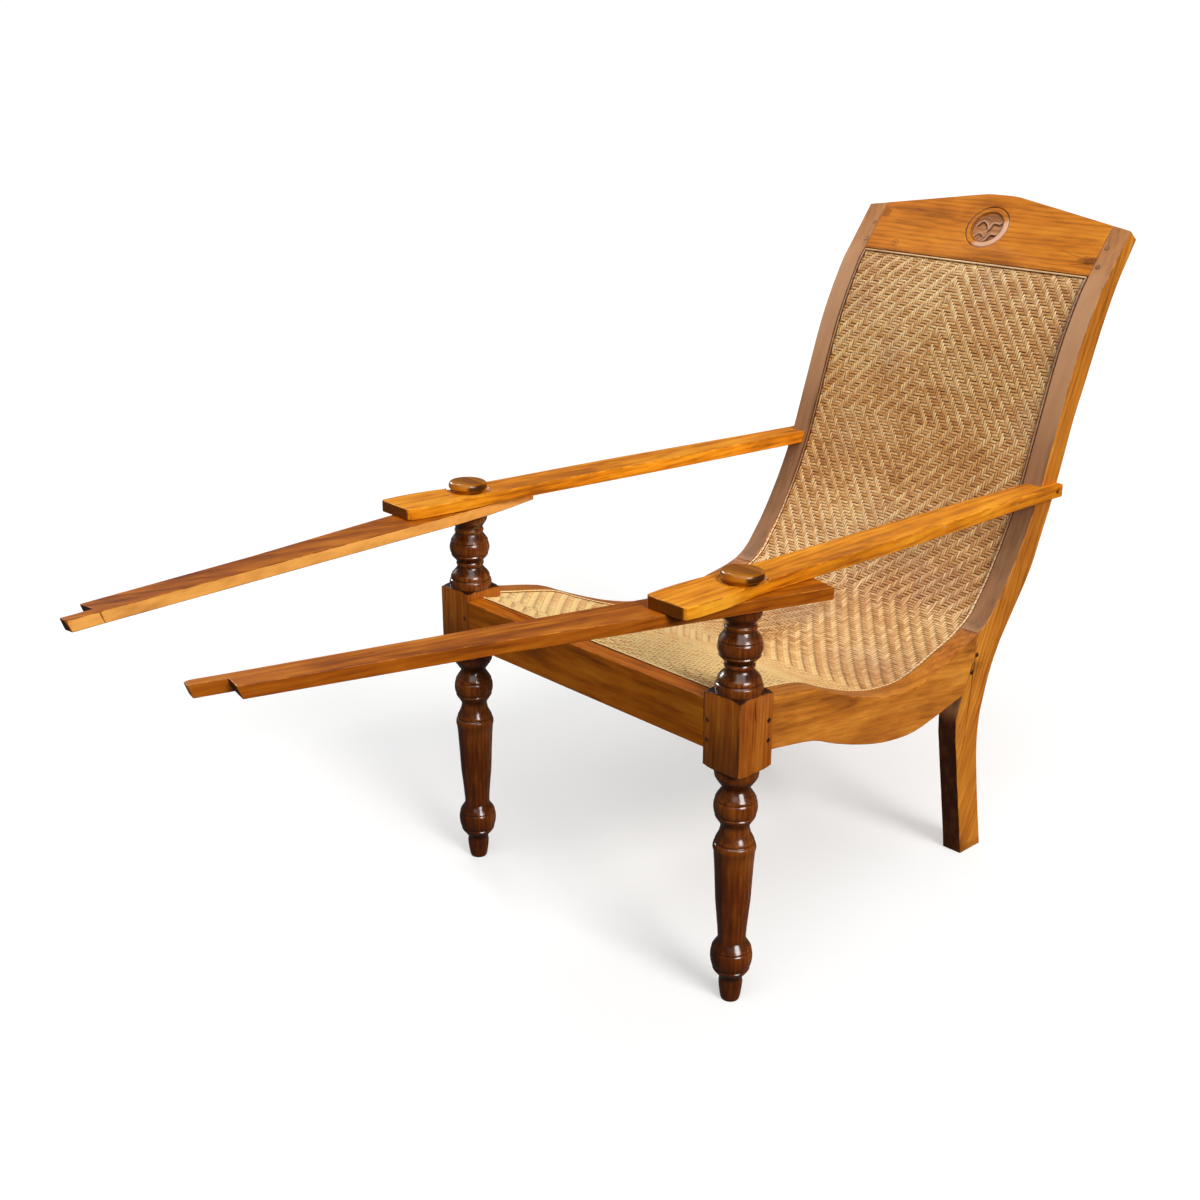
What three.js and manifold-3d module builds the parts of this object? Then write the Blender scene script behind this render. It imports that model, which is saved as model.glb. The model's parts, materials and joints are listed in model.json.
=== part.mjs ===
import * as THREE from 'three';
import { mergeVertices } from 'three/addons/utils/BufferGeometryUtils.js';
import Module from 'manifold-3d';

const wasm = await Module();
wasm.setup();

// A planters chair with a cane seat in one sweep and two leg rests that swing out from under the arms.
// Lengths are in millimetres. x runs to the sitter's left, y to the back and z up.

// Clearances
const fitGap = 0.3;
const runGap = 0.5;
const pivotGap = 1.2;
const overrun = 40;

// Front legs
const legSpacing = 560;
const legRadius = 30;
const legSides = 20;
const blockSide = 64;
const blockBottom = 358;
const blockHeight = 110;
const blockRound = 7;
const blockShoulderShare = 0.35;
const dowelRadius = 11;
const dowelSides = 16;
const dowelSeat = 6;

// Seat frame
const backWidth = 512;
const railInset = 12;
const railThickness = 34;
const railDepth = 76;
const frontRailThickness = 28;
const frontRailHeight = 71;
const frontRailDrop = 12;

// The seat line, which the cane, the side rails and the posts follow
const seatFrontDrop = 9;
const seatDip = 109;
const seatDepth = 406;
const backReach = 450;
const backRise = 555;
const crestLeanShare = 0.974;
const seatSteps = 56;

// Back posts and what joins them
const postWidth = 34;
const postDepth = 62;
const postJointReach = 175;
const postFootSet = 1;
const postSteps = 14;
const crestApex = 134;
const crestThickness = 24;
const gableSlopeShare = 0.185;
const gableFlat = 56;
const gableRound = 14;
const roundelHeight = 66;
const roundelRadius = 38.5;
const roundelFieldRadius = 28.5;
const roundelGroove = 1.8;
const roundelSink = 3;
const roundelSides = 28;
const stretcherHeight = 68;
const stretcherThickness = 20;
const stretcherInset = 24;
const stretcherDrop = 56;

// Cane
const caneThickness = 3;
const caneDrop = 2;
const bindingWidth = 5;
const bindingThickness = 2;
const battenWidth = 12;
const battenDepth = 14;

// Arms
const armLevel = 620;
const armThickness = 17.5;
const armSlopeShare = 0.034;
const armWidth = 62;
const armFront = 137;
const armTongue = 37;
const armTongueRound = 6;
const armCornerCut = 4;
const capRadius = 28.5;
const capHeight = 14;
const capSeatRadius = 33.5;
const capSink = 2.5;

// Leg rests
const restSlopeShare = 0.037;
const restThickness = 17;
const restWidth = 74;
const restReach = 672;
const restTongue = 46;
const restTongueWidth = 15;
const restTongueRound = 7;
const restBevel = 7;
const restYawLeft = THREE.MathUtils.degToRad(12);
const restYawRight = THREE.MathUtils.degToRad(8.5);

// Joints
const tenonLength = 25;
const postTenonLength = 18;
const tenonThickness = 14;
const tenonShoulder = 10;
const crestTenonLength = 20;
const crestTenonThickness = 10;
const pegRadius = 3.5;
const pegSides = 10;
const roundSteps = 4;
const pegProud = 0.4;
const pegInset = 7.5;
const pegReach = 30;
const crestPegReach = 19;

// The turned part under the block, as shares of the leg radius and of the height up to the block
const legTurningShares = [
  [0, 0], [0.41, 0], [0.453, 0.0084], [0.56, 0.081], [0.533, 0.1006], [0.62, 0.112],
  [0.873, 0.1425], [0.84, 0.148], [0.893, 0.1536], [0.98, 0.19], [0.943, 0.2207],
  [0.903, 0.2263], [0.92, 0.2318], [0.673, 0.2654], [0.653, 0.2737], [0.807, 0.436],
  [0.947, 0.651], [0.99, 0.6676], [0.947, 0.6844], [0.887, 0.69], [0.907, 0.6955],
  [0.75, 0.7235], [0.66, 0.7542], [0.693, 0.7682], [0.933, 0.8017], [0.9, 0.8073],
  [0.953, 0.8128], [1, 0.838], [0.96, 0.8617], [0.92, 0.8673], [0.933, 0.873],
  [0.68, 0.9078], [0.643, 0.919], [0.733, 0.9316], [0.977, 0.9637], [1.01, 0.9832],
];

// The turned part over the block, as shares of the leg radius and of the height up to the collar top
const balusterShares = [
  [1.067, 0], [1.08, 0.0427], [1.04, 0.094], [0.98, 0.111], [1, 0.1282], [0.947, 0.171],
  [0.753, 0.231], [0.647, 0.278], [0.693, 0.303], [0.693, 0.329], [0.66, 0.346],
  [0.94, 0.436], [0.907, 0.453], [0.96, 0.47], [1.015, 0.53], [0.965, 0.598],
  [0.93, 0.6154], [0.945, 0.6325], [0.693, 0.731], [0.73, 0.756], [0.73, 0.782],
  [0.68, 0.8], [0.753, 0.846], [0.9, 0.902], [0.933, 0.932], [0.933, 1.04],
];

// The seat line in front of its lowest point, as shares of the seat depth and of the drop
const seatFrontShares = [
  [0, 1], [0.176, 0.88], [0.364, 0.734], [0.487, 0.532], [0.609, 0.34], [0.726, 0.183],
  [0.851, 0.064], [1, 0],
];

// The seat line behind its lowest point, as shares of the reach and of the rise of the back
const seatBackShares = [
  [0.12, 0.011], [0.236, 0.032], [0.351, 0.053], [0.438, 0.088], [0.498, 0.144],
  [0.547, 0.198], [0.631, 0.3135], [0.7, 0.436], [0.758, 0.573], [0.853, 0.791],
  [0.949, 0.944], [1, 1],
];

// Depth of the side rail under the seat line, as shares of the way back and of the rail depth
const railDepthShares = [[0, 1], [0.25, 1.02], [0.5, 0.965], [0.75, 0.99], [0.9, 1.08], [1, 1.13]];

// Line of the post, as shares of the height to the crest and of the way from the foot to the crest
const postLineShares = [
  [0, 0], [0.11, -0.066], [0.221, -0.131], [0.27, -0.153], [0.314, -0.117], [0.354, -0.069],
  [0.398, -0.007], [0.442, 0.084], [0.5215, 0.288], [0.603, 0.434], [0.69, 0.547],
  [0.801, 0.672], [0.907, 0.818], [1, 1], [1.1, 1.275],
];

// Depth of the post behind that line, as shares of the same height and of the post depth
const postDepthShares = [
  [0, 0.85], [0.11, 0.84], [0.221, 0.9], [0.27, 1.03], [0.354, 1], [0.442, 1.08], [0.481, 1.03],
  [0.5215, 0.92], [0.561, 0.815], [0.646, 0.74], [0.746, 0.69], [0.851, 0.75], [0.959, 0.66],
  [1, 0.6], [1.1, 0.54],
];

// Inner and outer edge of the arm beside the line from leg to post, as shares of the arm width.
// The first share is of the arm's length in front of the leg, or behind it where it is positive.
const armEdgeShares = [
  [-1, -0.58, 0.53], [-0.76, -0.645, 0.56], [-0.38, -0.675, 0.51], [0, -0.63, 0.37],
  [0.14, -0.575, 0.355], [0.42, -0.57, 0.37], [0.63, -0.545, 0.31], [0.8, -0.51, 0.265],
  [0.94, -0.48, 0.23], [1.06, -0.45, 0.24],
];

// Places where the outline of the arm has a point, as the same shares of its length
const armStationShares = [-1, -0.76, -0.55, -0.38, -0.19, 0, 0.07, 0.14, 0.28, 0.42, 0.56, 0.7, 0.85, 1];

// Half widths of the leg rest, inner and outer, as shares of its length and of its width
const restEdgeShares = [
  [-0.182, 0.33, 0.47], [0, 0.5, 0.43], [0.34, 0.46, 0.335], [0.6, 0.42, 0.235], [1, 0.35, 0.21],
];

// Places where the outline of the leg rest has a point, as shares of its length
const restStationShares = [-0.182, -0.08, 0, 0.12, 0.3, 0.6, 1];

// Heights of the two pegs of a joint, as shares of the height of the joint
const pegHeightShares = [0.2, 0.6];

// Rounded knob that caps the leg, as shares of its radius and its whole height
const capShares = [
  [0, 0], [0.8, 0], [0.84, 0.18], [1, 0.36], [1.01, 0.62], [0.94, 0.86], [0.82, 0.97], [0, 1],
];

// Places that follow from the sizes above
const legX = legSpacing / 2;
const blockTop = blockBottom + blockHeight;
const blockInner = legX - blockSide / 2;
const blockOuter = legX + blockSide / 2;
const seatWidth = 2 * (blockOuter - railInset);
const seatFrontHeight = blockTop - seatFrontDrop;
const seatDipHeight = seatFrontHeight - seatDip;
const blockBack = blockSide / 2;
const frontRailBack = frontRailThickness - blockSide / 2;
const frontRailTop = blockTop - frontRailDrop;
const frontRailBottom = frontRailTop - frontRailHeight;
const dipY = frontRailBack + seatDepth;
const crestY = dipY + backReach;
const backLean = Math.atan(crestLeanShare * backReach / backRise);
const postJointY = dipY + postJointReach;
const postFootY = postJointY + postFootSet;
const crestZ = seatDipHeight + backRise;
const postInner = backWidth / 2 - postWidth;
const postOuter = backWidth / 2;
const postLean = crestY - postFootY;
const restTop = armLevel - armThickness - runGap;
const restBottom = restTop - restThickness;
const collarTop = restBottom - runGap;
const capWhole = capHeight + capSink - fitGap;
const upward = new THREE.Vector3(0, 0, 1);

// Directions of the crest rail: up along its face, and out of its face
const crestUp = new THREE.Vector3(0, Math.sin(backLean), Math.cos(backLean));
const crestOut = new THREE.Vector3(1, 0, 0).cross(crestUp);
const armNormal = new THREE.Vector3(0, armSlopeShare, 1).normalize();

// Bases for outlines: seen from the side, from above, and on the face of the crest rail
const sideBasis = new THREE.Matrix4().makeBasis(
  new THREE.Vector3(0, 1, 0), new THREE.Vector3(0, 0, 1), new THREE.Vector3(1, 0, 0));
const planBasis = new THREE.Matrix4();
const crestBasis = new THREE.Matrix4()
  .makeBasis(new THREE.Vector3(1, 0, 0), crestUp, crestOut)
  .setPosition(0, crestY, crestZ);

// Turns a closed geometry into a solid that can be cut and joined
function solid(geometry) {
  const bare = geometry.clone();
  bare.deleteAttribute('normal');
  bare.deleteAttribute('uv');
  const merged = mergeVertices(bare);
  const vertProperties = Float32Array.from(merged.attributes.position.array);
  const triVerts = Uint32Array.from(merged.index.array);
  return new wasm.Manifold(new wasm.Mesh({ numProp: 3, vertProperties, triVerts }));
}

function cut(body, tools) {
  return tools.reduce((rest, tool) => rest.subtract(tool), body);
}

function join(bodies) {
  return bodies.reduce((sum, body) => sum.add(body));
}

// Turns a solid back into a geometry, mirrored to the sitter's right where asked
function shaped(body, mirrored) {
  const { vertProperties, triVerts } = body.getMesh();
  const positions = Float32Array.from(vertProperties);
  const corners = Uint32Array.from(triVerts);
  if (mirrored) {
    for (let i = 0; i < positions.length; i += 3) positions[i] = -positions[i];
    corners.reverse();
  }
  const geometry = new THREE.BufferGeometry();
  geometry.setAttribute('position', new THREE.BufferAttribute(positions, 3));
  geometry.setIndex(new THREE.BufferAttribute(corners, 1));
  geometry.computeVertexNormals();
  return geometry;
}

function prism(points, start, end, basis) {
  const shape = new THREE.Shape(points);
  const geometry = new THREE.ExtrudeGeometry(shape, { depth: end - start, bevelEnabled: false });
  geometry.translate(0, 0, start);
  return solid(geometry.applyMatrix4(basis));
}

function rectangle(left, right, low, high) {
  return [[left, low], [right, low], [right, high], [left, high]].map(([u, v]) => new THREE.Vector2(u, v));
}

function box(minX, maxX, minY, maxY, minZ, maxZ) {
  return prism(rectangle(minX, maxX, minY, maxY), minZ, maxZ, planBasis);
}

function rod(radius, from, to, sides) {
  const along = to.clone().sub(from);
  const geometry = new THREE.CylinderGeometry(radius, radius, along.length(), sides);
  const lengthwise = new THREE.Vector3(0, 1, 0);
  geometry.applyQuaternion(new THREE.Quaternion().setFromUnitVectors(lengthwise, along.normalize()));
  const middle = from.clone().add(to).divideScalar(2);
  return solid(geometry.translate(middle.x, middle.y, middle.z));
}

// A turned body about the z axis, from points of radius and height
function turned(points, sides) {
  return solid(new THREE.LatheGeometry(points, sides).rotateX(Math.PI / 2));
}

// A smooth value between the entries of a table of places and values
function smooth(shares) {
  const places = shares.map((entry) => entry[0]);
  const values = shares.map((entry) => entry[1]);
  const curve = new THREE.CubicInterpolant(places, values, 1, new Float32Array(1));
  return (place) => curve.evaluate(place)[0];
}

const railDepthAt = smooth(railDepthShares);
const postLineAt = smooth(postLineShares);
const postDepthAt = smooth(postDepthShares);

// Points of the seat line, evenly spaced from the front rail to the crest rail
function seatLinePoints() {
  const front = seatFrontShares.map(([along, up]) =>
    new THREE.Vector2(frontRailBack + along * seatDepth, seatDipHeight + up * seatDip));
  const back = seatBackShares.map(([along, up]) =>
    new THREE.Vector2(dipY + along * backReach, seatDipHeight + up * backRise));
  return new THREE.SplineCurve([...front, ...back]).getSpacedPoints(seatSteps);
}

const seatLine = seatLinePoints();

// Unit direction square to the seat line at one of its points, pointing up and forward
function seatNormal(index) {
  const before = seatLine[Math.max(index - 1, 0)];
  const after = seatLine[Math.min(index + 1, seatSteps)];
  const along = after.clone().sub(before).normalize();
  return new THREE.Vector2(-along.y, along.x);
}

function offsetLine(offset) {
  const points = seatLine.map((point, index) => point.clone().addScaledVector(seatNormal(index), offset));
  const along = points[0].clone().sub(points[1]).normalize();
  points.unshift(points[0].clone().addScaledVector(along, frontRailThickness));
  return points;
}

// A band that follows the seat line between two offsets from it, cut to an outline seen from above
function seatBand(high, low, plan) {
  const outline = [...offsetLine(high), ...offsetLine(low).reverse()];
  const band = prism(outline, -seatWidth, seatWidth, sideBasis);
  return band.intersect(prism(plan, 0, crestZ + overrun, planBasis));
}

// Outer face of the side rail at a distance back, in plan
function railOuterAt(y) {
  const share = THREE.MathUtils.clamp((y - blockBack) / (postJointY - blockBack), 0, 1);
  return THREE.MathUtils.lerp(seatWidth / 2, postOuter, share);
}

// Front edge of the post under the seat, and its rear edge at any height
function postLineY(z) {
  return postFootY + postLean * postLineAt(z / crestZ);
}

function postRearY(z) {
  return postLineY(z) + postDepth * postDepthAt(z / crestZ);
}

function postFrontY(z) {
  return Math.min(postLineY(z), postJointY);
}

// The first point of the seat line that lies on the post
const jointIndex = seatLine.findIndex((point) => point.x > postJointY);
const jointZ = THREE.MathUtils.lerp(
  seatLine[jointIndex - 1].y, seatLine[jointIndex].y,
  (postJointY - seatLine[jointIndex - 1].x) / (seatLine[jointIndex].x - seatLine[jointIndex - 1].x));

// Middle of the stretcher, from the point where the seat line meets the post
const stretcherY = postJointY + stretcherInset;
const stretcherLevel = jointZ - stretcherDrop;

// Front edge of the whole post from foot to top, moved forward by an offset
function postFrontEdge(offset) {
  const points = [];
  for (let i = 0; i < postSteps; i += 1) {
    const z = (jointZ * i) / postSteps;
    points.push(new THREE.Vector2(postFrontY(z) - offset, z));
  }
  points.push(new THREE.Vector2(postJointY - offset, jointZ));
  for (const point of seatLine.slice(jointIndex)) {
    points.push(new THREE.Vector2(point.x - offset, point.y));
  }
  const tip = crestApex;
  points.push(new THREE.Vector2(crestY - offset + tip * crestUp.y, crestZ + tip * crestUp.z));
  return points;
}

// Everything behind the front edge of the post, for cutting what ends against it
function behindPost(offset, minX, maxX) {
  const edge = postFrontEdge(offset);
  const top = edge[edge.length - 1];
  const far = top.x + overrun;
  return prism([...edge, new THREE.Vector2(far, top.y), new THREE.Vector2(far, 0)], minX, maxX, sideBasis);
}

// Square tenons, grown by a clearance where the same shape cuts the mortise
function frontTenon(grow) {
  const middle = (frontRailBack - blockSide / 2) / 2;
  const half = tenonThickness / 2 + grow;
  return box(
    blockInner - overrun / 2, blockInner + tenonLength + grow, middle - half, middle + half,
    frontRailBottom + tenonShoulder - grow, frontRailTop - tenonShoulder + grow);
}

// A board between two faces that run with the side rail in plan
function railBoard(outline, inset, grow) {
  const slope = (postOuter - seatWidth / 2) / (postJointY - blockBack);
  const outer = seatWidth / 2 - slope * blockBack;
  const slant = new THREE.Matrix4().makeShear(0, 0, slope, 0, 0, 0).multiply(sideBasis);
  return prism(outline, outer - railThickness + inset - grow, outer - inset + grow, slant);
}

function railFrontTenon(grow) {
  const inset = (railThickness - tenonThickness) / 2;
  const outline = rectangle(
    blockBack - tenonLength - grow, blockBack + overrun / 2,
    frontRailBottom - grow, frontRailTop - tenonShoulder + grow);
  return railBoard(outline, inset, grow);
}

function railRearTenon(grow) {
  const inset = (railThickness - tenonThickness) / 2;
  const high = jointZ - 2 * tenonShoulder + grow;
  const low = jointZ - railDepth - grow;
  const outline = [
    new THREE.Vector2(postFrontY(low) - overrun / 2, low),
    new THREE.Vector2(postFrontY(low) + postTenonLength + grow, low),
    new THREE.Vector2(postFrontY(high) + postTenonLength + grow, high),
    new THREE.Vector2(postFrontY(high) - overrun / 2, high),
  ];
  return railBoard(outline, inset, grow);
}

function crestTenon(grow) {
  const middle = -crestThickness / 2;
  const half = crestTenonThickness / 2 + grow;
  const high = crestApex - gableSlopeShare * postOuter - tenonShoulder;
  const outline = rectangle(
    postInner - overrun / 2, postInner + crestTenonLength + grow, tenonShoulder - grow, high + grow);
  return prism(outline, middle - half, middle + half, crestBasis);
}

function stretcherTenon(grow) {
  const half = crestTenonThickness / 2 + grow;
  const rise = stretcherHeight / 2 - tenonShoulder + grow;
  return box(
    postInner - overrun / 2, postInner + crestTenonLength + grow, stretcherY - half, stretcherY + half,
    stretcherLevel - rise, stretcherLevel + rise);
}

// Where each peg of the sitter's left side starts, which way it goes in, and how deep
function pegPlaces() {
  const places = [];
  pegHeightShares.forEach((share, index) => {
    const label = ['lower', 'upper'][index];
    const railZ = THREE.MathUtils.lerp(frontRailBottom, frontRailTop, share);
    places.push({
      name: `front_rail_peg_${label}`, reach: pegReach, into: new THREE.Vector3(0, 1, 0),
      start: new THREE.Vector3(blockInner + pegInset, -blockSide / 2, railZ),
    });
    places.push({
      name: `side_rail_peg_${label}`, reach: pegReach, into: new THREE.Vector3(-1, 0, 0),
      start: new THREE.Vector3(blockOuter, blockBack - pegInset, railZ),
    });
    const postZ = THREE.MathUtils.lerp(jointZ - railDepth, jointZ - tenonShoulder, share);
    places.push({
      name: `post_peg_${label}`, reach: pegReach, into: new THREE.Vector3(-1, 0, 0),
      start: new THREE.Vector3(postOuter, postFrontY(postZ) + pegInset, postZ),
    });
    const crestUpShare = THREE.MathUtils.lerp(0, crestApex - gableSlopeShare * postOuter, share);
    places.push({
      name: `crest_peg_${label}`, reach: crestPegReach, into: crestOut.clone().negate(),
      start: new THREE.Vector3(postInner + pegInset, crestUpShare, 0).applyMatrix4(crestBasis),
    });
  });
  return places;
}

const armPeg = (() => {
  const postFrontAtArm = seatLine.find((point) => point.y > armLevel - armThickness).x;
  const y = postFrontAtArm + armTongue / 2;
  const z = armLevel - armSlopeShare * y - armThickness / 2;
  return { name: 'arm_peg', reach: pegReach, into: new THREE.Vector3(-1, 0, 0),
    start: new THREE.Vector3(postOuter + armEdgeAt(1)[2], y, z) };
})();

const pegs = [...pegPlaces(), armPeg];

function pegBody(peg) {
  const out = peg.start.clone().addScaledVector(peg.into, -pegProud);
  return rod(pegRadius, out, peg.start.clone().addScaledVector(peg.into, peg.reach), pegSides);
}

function pegHole(peg) {
  const out = peg.start.clone().addScaledVector(peg.into, -overrun / 2);
  const end = peg.start.clone().addScaledVector(peg.into, peg.reach + fitGap);
  return rod(pegRadius + fitGap, out, end, pegSides);
}

function holesNamed(part) {
  return pegs.filter((peg) => peg.name.startsWith(part)).map(pegHole);
}

// Front leg: a square block with rounded shoulders between two turned parts, and the pivot dowel
function frontLeg() {
  const under = legTurningShares.map(([r, z]) => new THREE.Vector2(r * legRadius, z * blockBottom));
  const over = balusterShares.map(([r, z]) =>
    new THREE.Vector2(r * legRadius, blockTop + z * (collarTop - blockTop)));
  const core = new THREE.Vector2(legRadius * legTurningShares.at(-1)[0], blockBottom);
  const top = over.at(-1).y;
  const turning = turned([...under, core, ...over, new THREE.Vector2(0, top)], legSides);
  const bodies = [
    cut(turning, [aboveSlope(collarTop)]), legBlock(),
    rod(dowelRadius, upward.clone().multiplyScalar(blockTop),
      upward.clone().multiplyScalar(armLevel + dowelSeat), dowelSides),
  ];
  const leg = solid(shaped(join(bodies), false).translate(legX, 0, 0));
  const mortises = [frontTenon(fitGap), railFrontTenon(fitGap)];
  return cut(leg, [...mortises, ...holesNamed('front_rail'), ...holesNamed('side_rail')]);
}

// Everything above the slope that the leg rest turns on, round the pivot
function aboveSlope(height) {
  const outline = [
    new THREE.Vector2(-overrun, height + overrun * restSlopeShare),
    new THREE.Vector2(overrun, height - overrun * restSlopeShare),
    new THREE.Vector2(overrun, height + overrun),
    new THREE.Vector2(-overrun, height + overrun),
  ];
  return prism(outline, -overrun, overrun, sideBasis);
}

function legBlock() {
  const half = blockSide / 2;
  const corner = half * Math.SQRT2 + blockRound;
  const bevel = half * Math.SQRT2 - half;
  const profile = [
    [0, blockBottom], [half, blockBottom], [corner - blockRound, blockBottom + bevel * blockShoulderShare],
    [corner, blockBottom + bevel], [corner, blockTop - bevel],
    [corner - blockRound, blockTop - bevel * blockShoulderShare], [half, blockTop], [0, blockTop],
  ].map(([r, z]) => new THREE.Vector2(r, z));
  return box(-half, half, -half, half, blockBottom, blockTop).intersect(turned(profile, legSides * 2));
}

function frontRail() {
  const reach = blockInner - fitGap;
  const beam = box(-reach, reach, -blockSide / 2, frontRailBack, frontRailBottom, frontRailTop);
  const tenon = frontTenon(0);
  const right = solid(shaped(tenon, true));
  const holes = holesNamed('front_rail');
  const mirroredHoles = holes.map((hole) => solid(shaped(hole, true)));
  return cut(join([beam, tenon, right]), [...holes, ...mirroredHoles]);
}

// Side rail: its top follows the seat line and its ends are cut to the block and the post
function sideRail() {
  const first = seatLine.findIndex((point) => point.x > blockBack - overrun);
  const line = [...seatLine.slice(first, jointIndex), new THREE.Vector2(postJointY, jointZ)];
  const length = postJointY - blockBack;
  const under = line.map((point) => {
    const share = THREE.MathUtils.clamp((point.x - blockBack) / length, 0, 1);
    return new THREE.Vector2(point.x, point.y - railDepth * railDepthAt(share));
  });
  const board = railBoard([...line, ...under.reverse()], 0, 0);
  const beforeBlock = box(0, seatWidth, -seatDepth, blockBack + fitGap, 0, crestZ);
  const shouldered = cut(board, [beforeBlock, behindPost(fitGap, 0, seatWidth)]);
  const whole = join([shouldered, railFrontTenon(0), railRearTenon(0)]);
  return cut(whole, [...holesNamed('side_rail'), ...holesNamed('post')]);
}

// Everything above the gable, for trimming the crest rail and the posts to one line
function aboveGable() {
  const eaves = (x) => crestApex - gableSlopeShare * x;
  const far = backWidth;
  const half = gableFlat / 2;
  const corner = new THREE.QuadraticBezierCurve(
    new THREE.Vector2(-half - gableRound, eaves(half + gableRound)), new THREE.Vector2(-half, eaves(half)),
    new THREE.Vector2(gableRound - half, eaves(half))).getPoints(roundSteps);
  const outline = [
    new THREE.Vector2(-far, eaves(far)), ...corner, ...mirroredPoints(corner).reverse(),
    new THREE.Vector2(far, eaves(far)), new THREE.Vector2(far, crestApex * 2),
    new THREE.Vector2(-far, crestApex * 2),
  ];
  return prism(outline, -postDepth * 2, postDepth, crestBasis);
}

function backPost() {
  const front = postFrontEdge(0);
  const rear = front.map((point) => new THREE.Vector2(postRearY(point.y), point.y)).reverse();
  const body = prism([...front, ...rear], postInner, postOuter, sideBasis);
  const mortises = [railRearTenon(fitGap), crestTenon(fitGap), stretcherTenon(fitGap)];
  const holes = [...holesNamed('post'), ...holesNamed('crest'), ...holesNamed('arm')];
  return cut(body, [aboveGable(), ...mortises, ...holes]);
}

function crestRail() {
  const reach = postInner - fitGap;
  const board = prism(rectangle(-reach, reach, fitGap, crestApex), -crestThickness, 0, crestBasis);
  const tenons = [crestTenon(0), solid(shaped(crestTenon(0), true))];
  const holes = holesNamed('crest');
  const mirroredHoles = holes.map((hole) => solid(shaped(hole, true)));
  return cut(join([board, ...tenons]), [aboveGable(), ...holes, ...mirroredHoles, ...roundelCuts()]);
}

// Ring groove and sunk field of the roundel in the middle of the crest rail
function roundelCuts() {
  const groove = [
    [roundelRadius - roundelGroove, roundelGroove], [roundelRadius, -roundelGroove],
    [roundelRadius + roundelGroove, roundelGroove], [roundelRadius - roundelGroove, roundelGroove],
  ].map(([r, n]) => new THREE.Vector2(r, n));
  const field = [[0, -roundelSink], [roundelFieldRadius - roundelGroove, -roundelSink],
    [roundelFieldRadius, roundelGroove], [0, roundelGroove]].map(([r, n]) => new THREE.Vector2(r, n));
  const placed = (points) => {
    const geometry = new THREE.LatheGeometry(points, roundelSides).rotateX(Math.PI / 2);
    return solid(geometry.translate(0, roundelHeight, 0).applyMatrix4(crestBasis));
  };
  return [placed(groove), placed(field)];
}

function seatStretcher() {
  const reach = postInner - fitGap;
  const half = stretcherThickness / 2;
  const rise = stretcherHeight / 2;
  const beam = box(
    -reach, reach, stretcherY - half, stretcherY + half, stretcherLevel - rise, stretcherLevel + rise);
  return join([beam, stretcherTenon(0), solid(shaped(stretcherTenon(0), true))]);
}

// Edge of the seat opening in plan, from the blocks back to the crest rail, set in by an inset
function seatSide(inset, fromY) {
  return [
    new THREE.Vector2(railOuterAt(fromY) - railThickness - inset, fromY),
    new THREE.Vector2(postInner - inset, postJointY),
    new THREE.Vector2(postInner - inset, crestY + overrun),
  ];
}

function mirroredPoints(points) {
  return points.map((point) => new THREE.Vector2(-point.x, point.y));
}

function caneSling() {
  const front = frontRailBack + fitGap;
  const behind = blockBack + fitGap;
  const side = [
    new THREE.Vector2(blockInner - fitGap, front), new THREE.Vector2(blockInner - fitGap, behind),
    ...seatSide(fitGap, behind),
  ];
  const plan = [...side, ...mirroredPoints(side).reverse()];
  return seatBand(-caneDrop, -caneDrop - caneThickness, plan);
}

// A strip along the left edge of the seat opening, of a width, under or over the cane
function sideStrip(high, low, width) {
  const behind = blockBack + fitGap;
  const plan = [...seatSide(fitGap, behind), ...seatSide(fitGap + width, behind).reverse()];
  return seatBand(high, low, plan);
}

function frontStrip(high, low, width) {
  const reach = blockInner - fitGap;
  const front = frontRailBack + fitGap;
  return seatBand(high, low, rectangle(-reach, reach, front, front + width));
}

// A strip along the lower edge of the crest rail, in the frame of its face
function topStrip(high, low, width, inset) {
  const reach = postInner - inset - 2 * fitGap;
  return prism(rectangle(-reach, reach, -width, 0), low, high, crestBasis);
}

const underCane = -caneDrop - caneThickness - fitGap;
const overCane = -caneDrop + fitGap;

// Left and right half offsets of the arm from the line between leg and post
function armEdgeAt(share) {
  const inner = smooth(armEdgeShares.map(([place, value]) => [place, value]));
  const outer = smooth(armEdgeShares.map(([place, , value]) => [place, value]));
  return [share, inner(share) * armWidth, outer(share) * armWidth];
}

// Arm: outline from above, cut by the slopes of its top and underside, notched round the post
function arm() {
  const postFrontAtArm = seatLine.find((point) => point.y > armLevel - armThickness).x;
  const end = postFrontAtArm + armTongue;
  const edge = (side, y) => {
    const share = y < 0 ? y / armFront : y / postFrontAtArm;
    const line = y < 0 ? legX : THREE.MathUtils.lerp(legX, postOuter, share);
    return new THREE.Vector2(line + armEdgeAt(share)[side], y);
  };
  const stations = armStationShares.map((share) => (share < 0 ? share * armFront : share * postFrontAtArm));
  const inner = stations.map((y) => edge(1, y));
  const outer = stations.map((y) => edge(2, y));
  const outline = [
    ...cornerCut(inner[1], inner[0], outer[0]), ...cornerCut(inner[0], outer[0], outer[1]),
    ...outer.slice(1), ...roundCorner(outer.at(-1), edge(2, end), edge(1, end)),
    edge(1, end), ...inner.slice(1).reverse(),
  ];
  const plan = prism(outline, restBottom - armTongue, armLevel + overrun, planBasis);
  const notch = behindPost(fitGap, 0, postOuter + fitGap);
  const seat = new THREE.Vector3(legX, 0, armLevel);
  const recess = rod(capSeatRadius, seat.clone().addScaledVector(armNormal, -capSink),
    seat.clone().addScaledVector(armNormal, overrun), roundelSides);
  const hole = rod(dowelRadius + fitGap, new THREE.Vector3(legX, 0, restBottom),
    new THREE.Vector3(legX, 0, armLevel + overrun), dowelSides);
  return cut(plan.intersect(armSide(end)), [notch, recess, hole, ...holesNamed('arm')]);
}

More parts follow.
